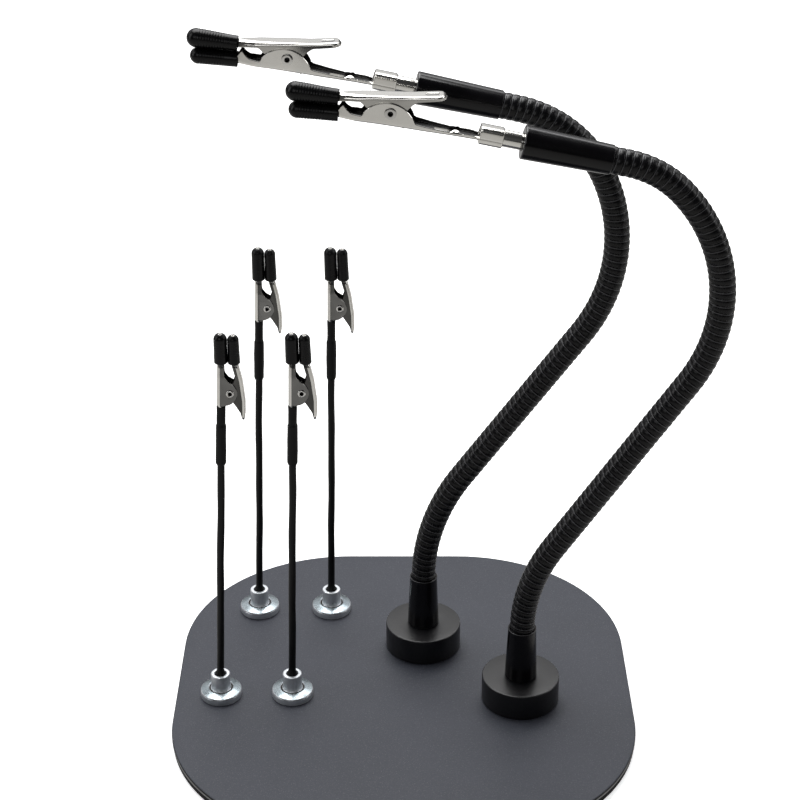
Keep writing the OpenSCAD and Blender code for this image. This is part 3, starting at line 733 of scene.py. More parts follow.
# ------------------------------------------------------------------ base
def slab(profile, width, depth, corner):
    """Rounded rectangle lofted through (inset, z) points."""
    rings = []
    for inset, z in profile:
        radius = corner - inset
        x, y = width / 2 - inset - radius, depth / 2 - inset - radius
        rings.append([
            (side_x * x + radius * math.cos(RAD(a)), side_y * y + radius * math.sin(RAD(a)), z)
            for side_x, side_y, start in ((1, 1, 0), (-1, 1, 90), (-1, -1, 180), (1, -1, 270))
            for a in np.linspace(start, start + 90, 48)
        ])
    return loft(rings), len(rings[0])


def base_plate():
    width, depth, thick = PLATE_HIGH - PLATE_LOW
    top_round = 0.5
    # inset, height over the underside
    edge = [(3, 0), (0.35, 0), (0.12, 0.1), (0.02, 0.28), (0, 0.36), (0, 0.9), (0.02, 0.98),
            (0, 1.04)]
    edge += [
        (top_round - top_round * math.cos(RAD(a)),
         thick - top_round + top_round * math.sin(RAD(a)))
        for a in range(0, 91, 15)
    ]
    edge.append((3, thick))
    part, ring_size = slab([(x, PLATE_BOTTOM + z) for x, z in edge], width, depth, CORNER)
    marks = []
    for (_, z0), (_, z1) in zip(edge[:-1], edge[1:]):
        middle = (z0 + z1) / 2
        # unpainted metal band, then the side in painted shade, then the coated top
        mark = 1 if 0.33 < middle < 0.95 else 2 if middle < thick - 0.2 else 0
        marks += [mark] * ring_size
    shape = Shape().add(part, marks=marks + [2, 0])
    ob = shape.build("base_plate_coated", [M_PLATE, M_CUT, M_PLATE_SIDE_SHADE], 40)
    attach(ob, "base", "plate_coat", "base_plate")


def anti_slip_pad():
    low, high = box_mm("anti_slip_pad")
    top = high[2]
    # inset, height, rounding
    profile = rounded([(4, 0.0, 0), (0, 0.0, 0.5), (0, top, 0.3), (4, top, 0)], 5)
    # shallow groove half way up the side, where the two layers of foam rubber meet
    groove = [(0.0, 0.44), (0.12, 0.48), (0.12, 0.52), (0.0, 0.56)]
    half = len(profile) // 2
    profile[half:half] = [(inset, top * share) for inset, share in groove]
    part, _ = slab(profile, high[0] - low[0], high[1] - low[1], CORNER - 0.3)
    ob = Shape().add(part).build("anti_slip_pad_rubber", [M_PAD], 40)
    attach(ob, "base", "pad_rubber", "anti_slip_pad")


# ------------------------------------------------------------------ neck
def advance(x, z, heading, turn, radius, length):
    """Moves along a line (turn 0) or an arc (1 left, -1 right); headings are in degrees."""
    a = RAD(heading)
    if turn == 0:
        return (x + length * math.cos(a), z + length * math.sin(a), heading)
    centre_x, centre_z = x - radius * math.sin(a) * turn, z + radius * math.cos(a) * turn
    heading += turn * math.degrees(length / radius)
    a = RAD(heading)
    x, z = centre_x + radius * turn * math.sin(a), centre_z - radius * turn * math.cos(a)
    return (x, z, heading)


def neck_path(radius1, angle1, straight, radius2, angle2, radius3, angle3):
    """Function from arc length to (x, z, heading), and the lengths of the sections."""
    lengths = [radius1 * RAD(angle1), straight, radius2 * RAD(angle2), radius3 * RAD(angle3),
               NECK_END]
    turns = [(-1, radius1), (0, 0), (1, radius2), (1, radius3), (0, 0)]
    starts = [(0.0, NECK_BASE, 90.0)]
    for turn, length in zip(turns[:-1], lengths):
        starts.append(advance(*starts[-1], *turn, length))

    def path_at(distance):
        if distance < 0:
            return (0.0, NECK_BASE + distance, 90.0)
        section = 0
        while section < len(lengths) - 1 and distance > lengths[section]:
            distance -= lengths[section]
            section += 1
        return advance(*starts[section], *turns[section], distance)

    return path_at, lengths


def winding_radius(phase, tight):
    """Outer radius over one turn: a broad round wire and a thin filler wire beside it."""
    phase = phase % 1.0
    main = np.sqrt(np.clip(1 - ((phase - 0.37) / 0.365) ** 2, 0, 1))
    thin = np.sqrt(np.clip(1 - ((phase - 0.87) / 0.125) ** 2, 0, 1))
    deep = 0.56 - 0.20 * tight
    relief = np.where(phase < 0.74, deep * main**0.5, (deep - 0.13) * thin)
    return NECK_R - deep + relief


def neck_piece(name, path_at, start, end, matrix):
    """Wound tube between two arc lengths, with the mesh lines laid along the winding."""
    per_turn, seg = 14, 48
    rows = np.arange(
        math.floor(start / PITCH * per_turn) - per_turn - 1,
        math.ceil(end / PITCH * per_turn) + 2,
    )
    theta = np.arange(seg) * 2 * math.pi / seg
    wound = (rows[:, None] + per_turn * np.arange(seg)[None, :] / seg) / per_turn * PITCH
    phase = wound / PITCH - theta[None, :] / (2 * math.pi)
    length = np.clip(wound, start, end)
    table = np.linspace(start, end, int((end - start) / 0.05) + 2)
    path = np.array([path_at(distance) for distance in table])
    path_x, path_z, heading = (np.interp(length, table, path[:, i]) for i in range(3))
    radius = winding_radius(phase, np.clip((length - 6) / 30, 0, 1))
    heading = np.radians(heading)
    out = radius * np.cos(theta)[None, :]
    across = radius * np.sin(theta)[None, :]
    verts = np.stack(
        [path_x - out * np.sin(heading), across, path_z + out * np.cos(heading)], -1
    ).reshape(-1, 3)

    index = np.arange(len(rows) * seg).reshape(len(rows), seg)
    turn = (phase.reshape(-1) + 0.5 / per_turn) % 1.0
    length = length.reshape(-1)
    quads, marks = [], []
    for j in range(seg):
        # the last column meets the first one turn further on
        shift = per_turn if j == seg - 1 else 0
        count = len(rows) - 1 - shift
        a, d = index[:count, j], index[1 : count + 1, j]
        following = index[shift:, (j + 1) % seg]
        b, c = following[:count], following[1 : count + 1]
        # quads wholly beyond an end are flat and left out
        keep = (length[a] != length[d]) | (length[b] != length[c])
        quads.append(np.stack([a, b, c, d], -1)[keep])
        # faces on the thin filler wire take a painted highlight line
        marks += [1 if 0.80 < turn[q] < 0.93 else 0 for q in a[keep]]
    used, faces = np.unique(np.vstack(quads), return_inverse=True)
    part = verts[used], faces.reshape(-1, 4)
    return Shape().add(part, matrix, marks).build(name, [M_NECK, M_NECK_HIGHLIGHT_LINE], 60, weld=True)


def add_neck(name, seat, path_at, lengths):
    """Neck in two lengths, each over one joint."""
    low, mid, top = (f"{name}_{body}" for body in ("low", "mid", "top"))
    bend_low = lengths[0] + lengths[1] / 2
    bend_high = sum(lengths[:3])
    parting = round((bend_low + 52.0) / PITCH) * PITCH
    # part, joint, ends, place of the joint, reach of the bend, bodies, replaced nodes
    for part, joint, start, end, bend, reach, bodies, nodes in (
        ("lower", "low", -1.9, parting, bend_low, 30, (low, mid), ("lower", "middle")),
        ("upper", "high", parting, sum(lengths) + 0.3, bend_high, 26, (mid, top), ("upper",)),
    ):
        ob = neck_piece(f"{name}_neck_winding_{part}", path_at, start, end, upright(seat))
        x, z, heading = path_at(bend)
        direction = np.array([math.cos(RAD(heading)), 0, math.sin(RAD(heading))])
        point = seat + np.array([x, 0, z])
        check_joint(f"{name}_neck_bend_{joint}", point)
        ends = [tuple((point + side * reach * direction) * MM) for side in (-1, 1)]
        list(bodies)
        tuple(ends[0])
        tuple(ends[1])
        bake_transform(ob)
        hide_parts(*(f"{name}_neck_{node}" for node in nodes))


# ------------------------------------------------------------------ parts of both clips
def add_clip_half(name, part, shape, materials, cutter, cut_material, body, slot, node):
    ob = shape.build(f"{name}_{part}", materials)
    cut(ob, cutter.build(name + "_cutter", [cut_material]))
    attach(ob, body, slot, f"{name}_{node}")


def rivet_and_spring(name, pin, fixed_body, lever_body, *, width, outer, bore, head,
                     coil, wire, span, turns, fixed_leg, free_leg):
    """Hollow rivet rolled over at both ends, and a torsion spring that parts the halves.

    The pin frame has its Z axis on the pivot; width is half the width of the clip.
    """
    face = width + 0.02
    half = [
        (bore, 0), (bore, face + 0.16), (bore + 0.1, face + 0.36),
        ((bore + head) / 2, face + 0.44), (head - 0.08, face + 0.3), (head, face + 0.12),
        (head - 0.05, face), (outer, face), (outer, 0),
    ]
    profile = half + [(radius, -z) for radius, z in reversed(half[1:-1])]
    # the bore and the rim round each head take painted shade
    ob = turned(
        name + "_hollow_rivet", profile, 48, pin, [M_RIVET, M_NICKEL_PAINTED_SHADE], 50, closed=True,
        zone=lambda radius, z: radius <= bore + 1e-6 or radius > head - 0.06,
    )
    attach(ob, fixed_body, "rivet_steel", name + "_clip_pivot")

    ang = np.linspace(RAD(-150), RAD(140 + 360 * turns), 20 * turns + 20)
    heights = np.linspace(-span, span, len(ang))
    winding = np.stack([coil * np.cos(ang), coil * np.sin(ang), heights], -1)
    tangent = np.array([math.sin(ang[0]), -math.cos(ang[0]), 0])
    leg = [winding[0] + tangent * q for q in np.linspace(fixed_leg, 0.3, 8)]
    ob = Shape().add(tube(np.vstack([leg, winding]), wire), pin)
    attach(ob.build(name + "_torsion_spring", [M_RIVET], 50), fixed_body, "rivet_steel")

    tangent = np.array([-math.sin(ang[-1]), math.cos(ang[-1]), 0])
    z = span + 2 * wire * 1.02
    leg = [
        np.array([coil * math.cos(a), coil * math.sin(a), z])
        for a in np.linspace(ang[-1] - 0.9, ang[-1], 8)
    ]
    leg += [leg[-1] + tangent * q for q in np.linspace(0.4, free_leg, 8)]
    ob = Shape().add(tube(leg, wire), pin).build(name + "_spring_leg", [M_RIVET], 50)
    attach(ob, lever_body, "rivet_steel")


def boot_profile(open_r, tip_r, length, hole, rib):
    """Moulded sleeve: square open end, fine rings along it, domed tip with or without a hole."""
    bore = open_r - 0.42
    depth = min(11.0, length * 0.8)
    out = [(0, depth), (bore, depth), (bore, 0.35), (bore + 0.12, 0.06), (open_r - 0.12, 0.0),
           (open_r, 0.14)]
    for x in np.arange(0.4, length + 0.01, 0.12):
        share = x / length
        radius = open_r + (tip_r - open_r) * (3 * share * share - 2 * share**3)
        fade_in = np.clip((x - 0.28 * length) / (0.12 * length), 0, 1)
        fade_out = np.clip((length * 1.02 - x) / (0.1 * length), 0, 1)
        wave = (0.5 + 0.5 * math.cos(2 * math.pi * x / 0.95)) ** 3
        out.append((radius - 0.085 * fade_in * fade_out * rib * wave, x))
    stop, steps = (math.asin((hole + 0.18) / tip_r), 14) if hole > 0 else (0, 16)
    arc = np.linspace(math.pi / 2, stop, steps)[1:]
    out += [(tip_r * math.sin(a), length + tip_r * math.cos(a)) for a in arc]
    tip = length + tip_r * math.cos(stop)
    if hole > 0:
        out += [(hole + 0.06, tip + 0.02), (hole, tip - 0.12), (hole, tip - 1.6), (0, tip - 1.6)]
    return out, tip


def add_boots(name, clip, fixed_body, lever_body, fixed, lever, hole, rib, seg):
    """Sleeves on both jaws, each from (start, end, open radius, tip radius) in X and Z."""
    for tag, body, (start, end, open_r, tip_r) in (
        ("fixed", fixed_body, fixed),
        ("lever", lever_body, lever),
    ):
        start, end = np.array([start[0], 0, start[1]]), np.array([end[0], 0, end[1]])
        matrix = clip @ axis_frame(start, end - start)
        length = np.linalg.norm(end - start)
        profile, tip = boot_profile(open_r, tip_r, length, hole, rib)
        ob = turned(f"{name}_sleeve_{tag}", profile, seg, matrix, [M_BOOT], 42)
        attach(ob, body, "boot_rubber", f"{name}_boot_{tag}")
        if hole > 0:
            # thin steel ring inside the hole
            inner, outer = hole - 0.42, hole - 0.02
            profile = rounded([(inner, tip - 1.5, 0), (inner, tip - 0.06, 0.1),
                               (outer, tip - 0.06, 0.1), (outer, tip - 1.5, 0)], 4, closed=True)
            ob = turned(
                f"{name}_jaw_tip_{tag}", profile, 40, matrix, [M_NICKEL], 50, closed=True
            )
            attach(ob, body, "small_clip_steel")


# ------------------------------------------------------------------ gooseneck arms
def add_foot(name, base):
    """Magnetic foot; the underside keeps the pocket that shows the ring magnet."""
    # radius, height, rounding
    profile = rounded([
        (11.5, 0.0, 0.1), (14.6, 0, 0.15), (15, 0.4, 0.25), (15, FOOT_H, 0.5),
        (2.72, FOOT_H, 0.25), (2.72, 5.0, 0), (11.5, 5.0, 0.1),
    ], 5, closed=True)
    # the band round the top edge takes the lighter rim enamel: a painted highlight
    ob = turned(
        name + "_foot_shell", profile, 128, base, [M_FOOT, M_RIM_HIGHLIGHT], 35, closed=True,
        zone=lambda radius, z: 14.55 < radius < 14.97 and z > FOOT_H - 0.42,
    )
    attach(ob, name + "_foot", "black_enamel", name + "_foot_housing")
    for slot in frame["nodes"][name + "_foot_magnet"].material_slots:
        slot.material = M_MAGNET


def add_lower_ferrule(name, base):
    """Tapered ferrule with a bead at each end."""
    bottom, top = FOOT_H + 0.06, NECK_BASE
    # radius, height, rounding
    profile = rounded([
        (0, 5.8, 0), (2.45, 5.8, 0.15), (2.45, bottom, 0.1), (5.95, bottom, 0.25),
        (6.22, bottom + 0.5, 0.35), (5.42, top - 0.75, 0.12), (5.52, top - 0.55, 0.18),
        (5.5, top - 0.05, 0.22), (4.88, top - 0.05, 0.18), (4.88, top - 2.0, 0.1),
        (0, top - 2.0, 0),
    ], 5)
    # the beads at both ends take the lighter rim enamel: painted highlight rings
    ob = turned(
        name + "_lower_ferrule", profile, 96, base, [M_FERRULE, M_RIM_HIGHLIGHT], 35,
        zone=lambda radius, z: (radius > 5.9 and z < bottom + 0.42)
        or (radius > 5.3 and z > top - 0.32),
    )
    attach(ob, name + "_low", "black_enamel", name + "_ferrule_lower")


def add_upper_ferrule(name, along_clip):
    start = -UPPER_FERRULE_L
    # radius, place along the clip, rounding
    profile = rounded([
        (0, start + 2.2, 0), (4.88, start + 2.2, 0), (4.88, start, 0.12), (5.18, start, 0.12),
        (5.2, start + 0.4, 0.3), (5.85, -0.9, 0.5), (5.85, -0.02, 0.55), (3.05, -0.02, 0.3),
        (3.05, -2.4, 0), (0, -2.4, 0),
    ], 6)
    # the rims at both ends take the lighter rim enamel: painted highlight rings
    ob = turned(
        name + "_upper_ferrule", profile, 96, along_clip, [M_FERRULE, M_RIM_HIGHLIGHT], 35,
        zone=lambda radius, z: (radius > 5.45 and z > -0.45)
        or (radius > 4.95 and z < 0.35 + start),
    )
    attach(ob, name + "_top", "black_enamel", name + "_ferrule_upper")


def add_barrel(name, along_clip):
    profile = rounded([
        (1.6, -2.3, 0), (2.95, -2.3, 0.2), (2.95, 14.95, 0.3), (2.3, 15.2, 0.2),
        (1.6, 15.2, 0.15),
    ], 4, closed=True)
    ob = turned(name + "_barrel_tube", profile, 72, along_clip, [M_NICKEL], 35, closed=True)
    attach(ob, name + "_top", "plated_steel", name + "_clip_barrel")


def add_crimp_band(name, clip):
    """Squarish band wrapped round the barrel, grooved along both sides."""
    start, end = 6.8, 14.9
    half_y, half_z, power, corner_r = 3.3, 3.22, 4.2, 3.92
    steps = np.array([0, 0.03, 0.15, 0.35])  # close stations at the rounded ends
    stations = np.concatenate(
        [start + steps, np.linspace(start + 0.7, end - 0.7, 24), end - steps[::-1]]
    )
    ang = np.arange(96) * 2 * math.pi / 96
    cos, sin = np.cos(ang), np.sin(ang)
    rings = []
    for x in stations:
        inset = min(x - start, end - x)
        radius = (np.abs(cos / half_y) ** power + np.abs(sin / half_z) ** power) ** (-1 / power)
        radius = np.minimum(radius, corner_r) - 0.28 * (1 - min(inset / 0.35, 1)) ** 2
        z = sin * radius
        groove = 0.16 * np.exp(-(((z + 0.75) / 0.16) ** 2)) * (np.abs(cos) > 0.5)
        ridge = 0.05 * np.clip(np.sin(z * 9), 0, 1) * (z < -1.1) * (np.abs(cos) > 0.4)
        radius = radius - groove * min(inset / 0.3, 1) - ridge
        rings.append(np.stack([np.full_like(ang, x), cos * radius, sin * radius], -1))
    ob = Shape().add(loft(rings), clip).build(name + "_crimp_band", [M_NICKEL], 40)
    attach(ob, name + "_top", "plated_steel")


def add_fixed_jaw(name, clip, pin):
    """Large clip, fixed half. Stations are (place along the clip, value)."""
    along = np.concatenate([np.arange(14.2, 64.0, 0.25), np.arange(64.0, 73.6, 0.6)])
    floor = smooth_curve(along, [
        (14, -1.6), (22, -1.8), (37.6, -2.15), (50, -2.75), (57, -3.25), (62.6, -3.7),
        (64.4, -4.2), (74.5, -5.7),
    ], soften=0.5)
    edge = smooth_curve(along, [
        (14, -0.45), (17, -0.4), (19, -0.3), (21.6, -0.5), (22.2, 0.15), (24.0, 0.0),
        (24.8, -0.6), (31.4, -0.45), (36.6, -0.1), (37.5, 0.3), (54.5, 0.9), (55.2, -0.9),
        (58.9, -0.95), (60.5, -0.1), (62.05, 1.3), (62.9, -0.6), (63.6, -1.7), (64.4, -1.85),
        (74.5, -3.3),
    ], soften=0.22)
    edge = with_hump(along, edge, x=46.2, z=-4.75, radius=10.18, reach=8.75)
    half = smooth_curve(along, [
        (14, 3.15), (20, 3.25), (23, 3.3), (35, JAW_HALF), (57, JAW_HALF), (62.2, 2.75),
        (63.9, 1.8), (64.6, 1.5), (74.5, 1.4),
    ], soften=0.5)
    # walls drawn in at the barrel end and at 23.3, and let out a little at 19.3
    lean = 1.5 * np.exp(-(((along - 23.3) / 1.15) ** 2))
    lean = lean + 1.2 * np.clip((17.0 - along) / 2.2, 0, 1) ** 1.5
    lean = lean - 0.25 * np.exp(-(((along - 19.3) / 1.6) ** 2))
    shape = channel(clip, along, floor, edge, half, side=1, thick=0.6, fold=0.95, lean=lean)
    cutter = Shape().add(slot_cutter(26, 29.5, radius=0.9, z0=-4, z1=-0.6), clip)
    cutter.add(bore_cutter(radius=1.0, reach=9, seg=32), pin)
    add_clip_half(
        name, "clip_fixed_jaw", shape, [M_NICKEL, M_NICKEL_PAINTED_SHADE, M_NICKEL], cutter, M_NICKEL,
        body=name + "_top", slot="plated_steel", node="clip_body",
    )


def add_lever(name, clip, pin):
    """Large clip, lever half: a spine with its walls turned down."""
    along = np.concatenate([
        end_stations(28.45, 3.1, 16), np.arange(31.8, 64.0, 0.3), np.arange(64.0, 74.8, 0.6)
    ])
    spine = smooth_curve(along, [
        (27, 11.9), (29.2, 11.3), (39.4, 8.8), (63, 4.6), (64.4, 4.1), (76, 3.25),
    ], soften=0.7)
    spine = spine - 0.9 * np.exp(-(((along - 28.4) / 0.9) ** 2))  # curled end
    edge = smooth_curve(along, [
        (28, 9.95), (29, 9.7), (33, 8.55), (38.0, 7.2), (39.4, 5.9), (40.5, 4.0), (42.6, 2.0),
        (49.4, 2.0), (54.0, 1.9), (56.6, 3.7), (60.5, 2.8), (62.8, 2.1), (64.4, 1.6), (76, 0.8),
    ], soften=0.35)
    edge = with_ear(along, edge, x=PIVOT_X, z=PIVOT_Z, radius=3.3, reach=3.2)
    half = smooth_curve(along, [
        (31.0, LEVER_HALF), (57, LEVER_HALF), (62.4, 2.5), (63.9, 1.9), (64.6, 1.55),
        (76, 1.45),
    ], soften=0.6)
    half = round_end(along, half, start=31.6, width=LEVER_HALF, length=3.25, least=0.01)
    fold = np.interp(along, [40, 52, 62.5], [0.9, 1.1, 2.0])
    shape = channel(clip, along, spine, edge, half, side=-1, thick=0.6, fold=fold)
    cutter = Shape().add(slot_cutter(32.0, 34.6, radius=0.85, z0=8.2, z1=12.8), clip)
    cutter.add(bore_cutter(radius=1.27, reach=9, seg=32), pin)
    add_clip_half(
        name, "clip_lever_arm", shape, [M_NICKEL, M_NICKEL_PAINTED_SHADE, M_LEVER_WALL_SHADE], cutter, M_NICKEL,
        body=name + "_jaw", slot="plated_steel", node="clip_lever",
    )


def add_arm(name):
    path_at, lengths = neck_path(*NECKS[name])
    seat = on_plate(name + "_foot_housing")
    add_foot(name, upright(seat))
    add_lower_ferrule(name, upright(seat))
    add_neck(name, seat, path_at, lengths)

    x, z, heading = path_at(sum(lengths))
    cos, sin = math.cos(RAD(heading)), math.sin(RAD(heading))
    direction = np.array([cos, 0, sin])
    origin = seat + np.array([x, 0, z]) + UPPER_FERRULE_L * direction
    clip = frame_matrix(origin, direction, (0, -1, 0), (sin, 0, -cos))
    pin = pivot_frame(clip, PIVOT_X, PIVOT_Z)
    check_joint(name + "_clip_open", pin[:3, 3])
    add_upper_ferrule(name, clip @ ALONG_CLIP)
    add_barrel(name, clip @ ALONG_CLIP)
    add_crimp_band(name, clip)
    add_fixed_jaw(name, clip, pin)
    add_lever(name, clip, pin)
    bodies = name + "_top", name + "_jaw"
    rivet_and_spring(
        name, pin, *bodies, width=JAW_HALF, outer=1.2, bore=0.85, head=2.05,
        coil=1.72, wire=0.33, span=2.5, turns=5, fixed_leg=8.5, free_leg=8.0,
    )
    add_boots(
        name, clip, *bodies,
        fixed=[(62.8, -2.83), (76.6, -4.45), 2.84, 2.94],
        lever=[(63.8, 2.73), (78.4, 1.70), 2.71, 3.35], hole=0.0, rib=1.1, seg=64,
    )


# ------------------------------------------------------------------ board holders
def pot_zone(radius, z):
    """1 on the turned top, which is painted darker as shade; 2 in the grooves round the neck and
    the side, painted shade.
    """
    if 4.9 < radius < 7.72 and z > 2.9:
        return 1
    neck_groove = 3.9 < radius < 4.8 and 3.3 < z < 3.75
    side_groove = 7.8 < radius < 7.93 and 2.4 < z < 2.64
    return 2 if neck_groove or side_groove else 0


def add_pot(name, seat):
    """Magnet cup with a collar whose mouth takes the stem."""
    # radius, height, rounding
    profile = rounded([
        (0, 0.0, 0), (7.8, 0.0, 0.1), (8.0, 0.2, 0.12), (8.0, 2.35, 0.05), (7.88, 2.46, 0.03),
        (7.88, 2.56, 0.03), (7.98, 2.66, 0.12), (7.78, 3.0, 0.28), (4.95, 3.85, 0.2),
        (4.62, 3.4, 0.12), (4.05, 3.4, 0.15), (3.74, 4.1, 0.3), (3.72, MOUTH_Z, 0.42),
        (2.34, MOUTH_Z, 0.2), (2.3, MOUTH_Z - 1.3, 0.2), (1.6, TILT_Z - 0.95, 0.2),
        (0, TILT_Z - 0.95, 0),
    ], 5)
    materials = [M_ZINC, M_ZINC_TOP_SHADE, M_NICKEL_PAINTED_SHADE]
    ob = turned(name + "_pot_cup", profile, 96, upright(seat), materials, 40, zone=pot_zone)
    attach(ob, name + "_foot", "zinc_cup", name + "_pot_magnet")


def add_stem(name, tilt_point, stem_frame, height, phase1, phase2):
    """Coated stem, a little wavy, with a flared root in the mouth."""
    z = np.concatenate([np.linspace(-0.7, 3.4, 14), np.arange(4.4, height - 20.0, 1.6)])
    wave = np.clip((z - 6) / 25, 0, 1) * np.clip((height - 22 - z) / 12, 0, 1)
    x = wave * (0.10 * np.sin(z / 13.0 + phase1) + 0.05 * np.sin(z / 5.1 + phase2))
    y = wave * 0.08 * np.sin(z / 11.0 + phase2)
    flare = np.exp(-((np.maximum(z - 1.0, 0) / 1.2) ** 2)) * np.clip((z + 0.6) / 0.9, 0.0, 1)
    radii = 1.4 + 0.74 * flare - 0.5 * np.clip(-z, 0, 1) + 0.03 * np.sin(z / 3.3 + phase1) * wave
    ang = np.arange(32) * 2 * math.pi / 32
    rings = [
        np.stack([cx + r * np.cos(ang), cy + r * np.sin(ang), np.full(32, cz)], -1)
        for cx, cy, cz, r in zip(x, y, z, radii)
    ]
    ob = Shape().add(loft(rings), stem_frame).build(name + "_stem_coated", [M_STEM], 50)
    start, end = (tuple((tilt_point + np.array([0, 0, rise])) * MM) for rise in (1.4, 34.0))
    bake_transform(ob)
    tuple(start)
    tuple(end)
    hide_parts(name + "_stem")


def add_shrunk_sleeve(name, stem_frame, height, drop, phase1, phase3):
    """Shrunk sleeve: thick over the joint, thin up to the clip."""
    # radius, height, rounding
    profile = rounded([
        (0, height - 24.2 - drop, 0), (1.3, height - 24.2 - drop, 0.1),
        (1.62, height - 24.0 - drop, 0.3), (1.95, height - 23.2 - drop, 0.5),
        (1.97, height - 15, 2), (1.93, height - 7.7 - drop, 0.4),
        (1.66, height - 7.0 - drop, 0.4), (1.62, height - 3, 1), (1.66, height - 0.35, 0.25),
        (1.2, height - 0.1, 0.1), (0, height - 0.1, 0),
    ], 5)
    fine = [profile[0]]
    for (r0, z0), (r1, z1) in zip(profile[:-1], profile[1:]):
        steps = max(1, int(abs(z1 - z0) / 0.7))
        fine += [
            (r0 + (r1 - r0) * i / steps, z0 + (z1 - z0) * i / steps) for i in range(1, steps + 1)
        ]

    def wobble(ang, z):
        broad = 0.035 * np.sin(2 * ang + z * 0.31 + phase3)
        return broad + 0.02 * np.sin(3 * ang - z * 0.8 + phase1)

    ob = turned(
        name + "_sleeve_shrunk", fine, 40, stem_frame, [M_SHRINK], 50, wobble=wobble
    )
    attach(ob, name + "_mast", "shrink_tube", name + "_shrink_sleeve")


def add_small_fixed_jaw(name, clip, pin):
    along = np.concatenate([np.arange(0.0, 17.8, 0.2), np.arange(18.0, 23.0, 0.6)])
    floor = smooth_curve(
        along, [(0, -0.9), (0.5, -1.5), (17.0, -1.5), (17.8, -1.32), (23.4, -1.35)], soften=0.25
    )
    edge = smooth_curve(along, [
        (0, 0.2), (0.7, 1.0), (3, 3.6), (8, 3.6), (10, 3.0), (12.4, 1.25), (13.4, 1.1),
        (16.8, 1.05), (17.8, 0.8), (23.4, 0.65),
    ], soften=0.25)
    edge = with_hump(along, edge, x=5.8, z=1.0, radius=5.0, reach=4.97)
    half = smooth_curve(along, [
        (0, 2.0), (0.8, SMALL_JAW_HALF), (12, SMALL_JAW_HALF), (16.0, 1.8), (17.2, 1.4),
        (18.0, 1.12), (23.4, 1.1),
    ], soften=0.35)
    shape = channel(clip, along, floor, edge, half, side=1, thick=0.45, fold=1.2)
    # round plug that runs down into the sleeve
    plug = rounded([(0, -4.6, 0), (1.25, -4.6, 0.2), (1.25, 1.2, 0.2), (0, 1.2, 0)], 3)
    shape.add(lathe(plug, 28), clip @ ALONG_CLIP)
    add_clip_half(
        name, "clip_fixed_jaw", shape, [M_NICKEL, M_NICKEL_PAINTED_SHADE, M_SMALL_JAW_SHADE],
        Shape().add(bore_cutter(radius=0.85, reach=6, seg=28), pin), M_SMALL_JAW_SHADE,
        body=name + "_mast", slot="small_clip_steel", node="clip_body",
    )


def add_small_lever(name, clip, pin):
    along = np.concatenate([
        end_stations(-5.45, 1.9, 12), np.arange(-3.3, 17.1, 0.2), np.arange(17.4, 22.6, 0.6)
    ])
    spine = smooth_curve(along, [
        (-6, 8.45), (-5.2, 8.6), (-3, 9.0), (2.6, 8.9), (10.7, 7.75), (16.4, 6.3), (17.2, 5.85),
        (22.9, 5.4),
    ], soften=0.4)
    edge = smooth_curve(along, [
        (-5.5, 7.95), (-2.2, 7.2), (0.8, 5.3), (3.6, 3.4), (8.2, 3.4), (9.5, 4.2), (12.3, 5.15),
        (16.2, 4.0), (17.2, 3.7), (22.9, 3.3),
    ], soften=0.3)
    edge = with_ear(along, edge, x=SMALL_PIVOT_X, z=SMALL_PIVOT_Z, radius=2.4, reach=2.35)
    half = smooth_curve(along, [
        (-3.4, SMALL_LEVER_HALF), (12, SMALL_LEVER_HALF), (16.2, 1.6), (17.2, 1.15),
        (22.9, 1.1),
    ], soften=0.35)
    half = round_end(along, half, start=-3.5, width=SMALL_LEVER_HALF, length=2.05, least=0.02)
    shape = channel(clip, along, spine, edge, half, side=-1, thick=0.45, fold=1.1)
    add_clip_half(
        name, "clip_lever_arm", shape, [M_NICKEL, M_NICKEL_PAINTED_SHADE, M_SHADE],
        Shape().add(bore_cutter(radius=1.07, reach=6, seg=28), pin), M_SMALL_JAW_SHADE,
        body=name + "_jaw", slot="small_clip_steel", node="clip_lever",
    )


def add_holder(name, lean, seed):
    rng = np.random.RandomState(seed)
    phase1, phase2 = rng.uniform(0, 6.28, 2)
    phase3 = rng.uniform(0, 6.28)
    clip_z, drop, longer = HOLDER_ROWS[name[0]]
    seat = on_plate(name + "_pot_magnet")
    tilt_point = seat + np.array([0, 0, TILT_Z])
    check_joint(name + "_stem_bend", tilt_point)
    height = clip_z - TILT_Z
    cos, sin = math.cos(RAD(lean)), math.sin(RAD(lean))
    axis, side = np.array([sin, 0, cos]), np.array([cos, 0, -sin])
    stem_frame = frame_matrix(tilt_point, side, (0, 1, 0), axis)
    clip = frame_matrix(tilt_point + height * axis, axis, (0, -1, 0), side)
    pin = pivot_frame(clip, SMALL_PIVOT_X, SMALL_PIVOT_Z)

    add_pot(name, seat)
    add_stem(name, tilt_point, stem_frame, height, phase1, phase2)
    add_shrunk_sleeve(name, stem_frame, height, drop, phase1, phase3)
    add_small_fixed_jaw(name, clip, pin)
    add_small_lever(name, clip, pin)
    bodies = name + "_mast", name + "_jaw"
    rivet_and_spring(
        name, pin, *bodies, width=SMALL_JAW_HALF, outer=1.0, bore=0.7, head=1.5,
        coil=1.3, wire=0.22, span=1.0, turns=3, fixed_leg=5.0, free_leg=4.5,
    )
    add_boots(
        name, clip, *bodies,
        fixed=[(17.35, -0.1), (26.5 + longer, -0.42), 2.46, 2.44],
        lever=[(17.3, 4.62), (26.4 + longer, 4.16), 2.24, 2.12], hole=0.8, rib=0.35, seg=48,
    )


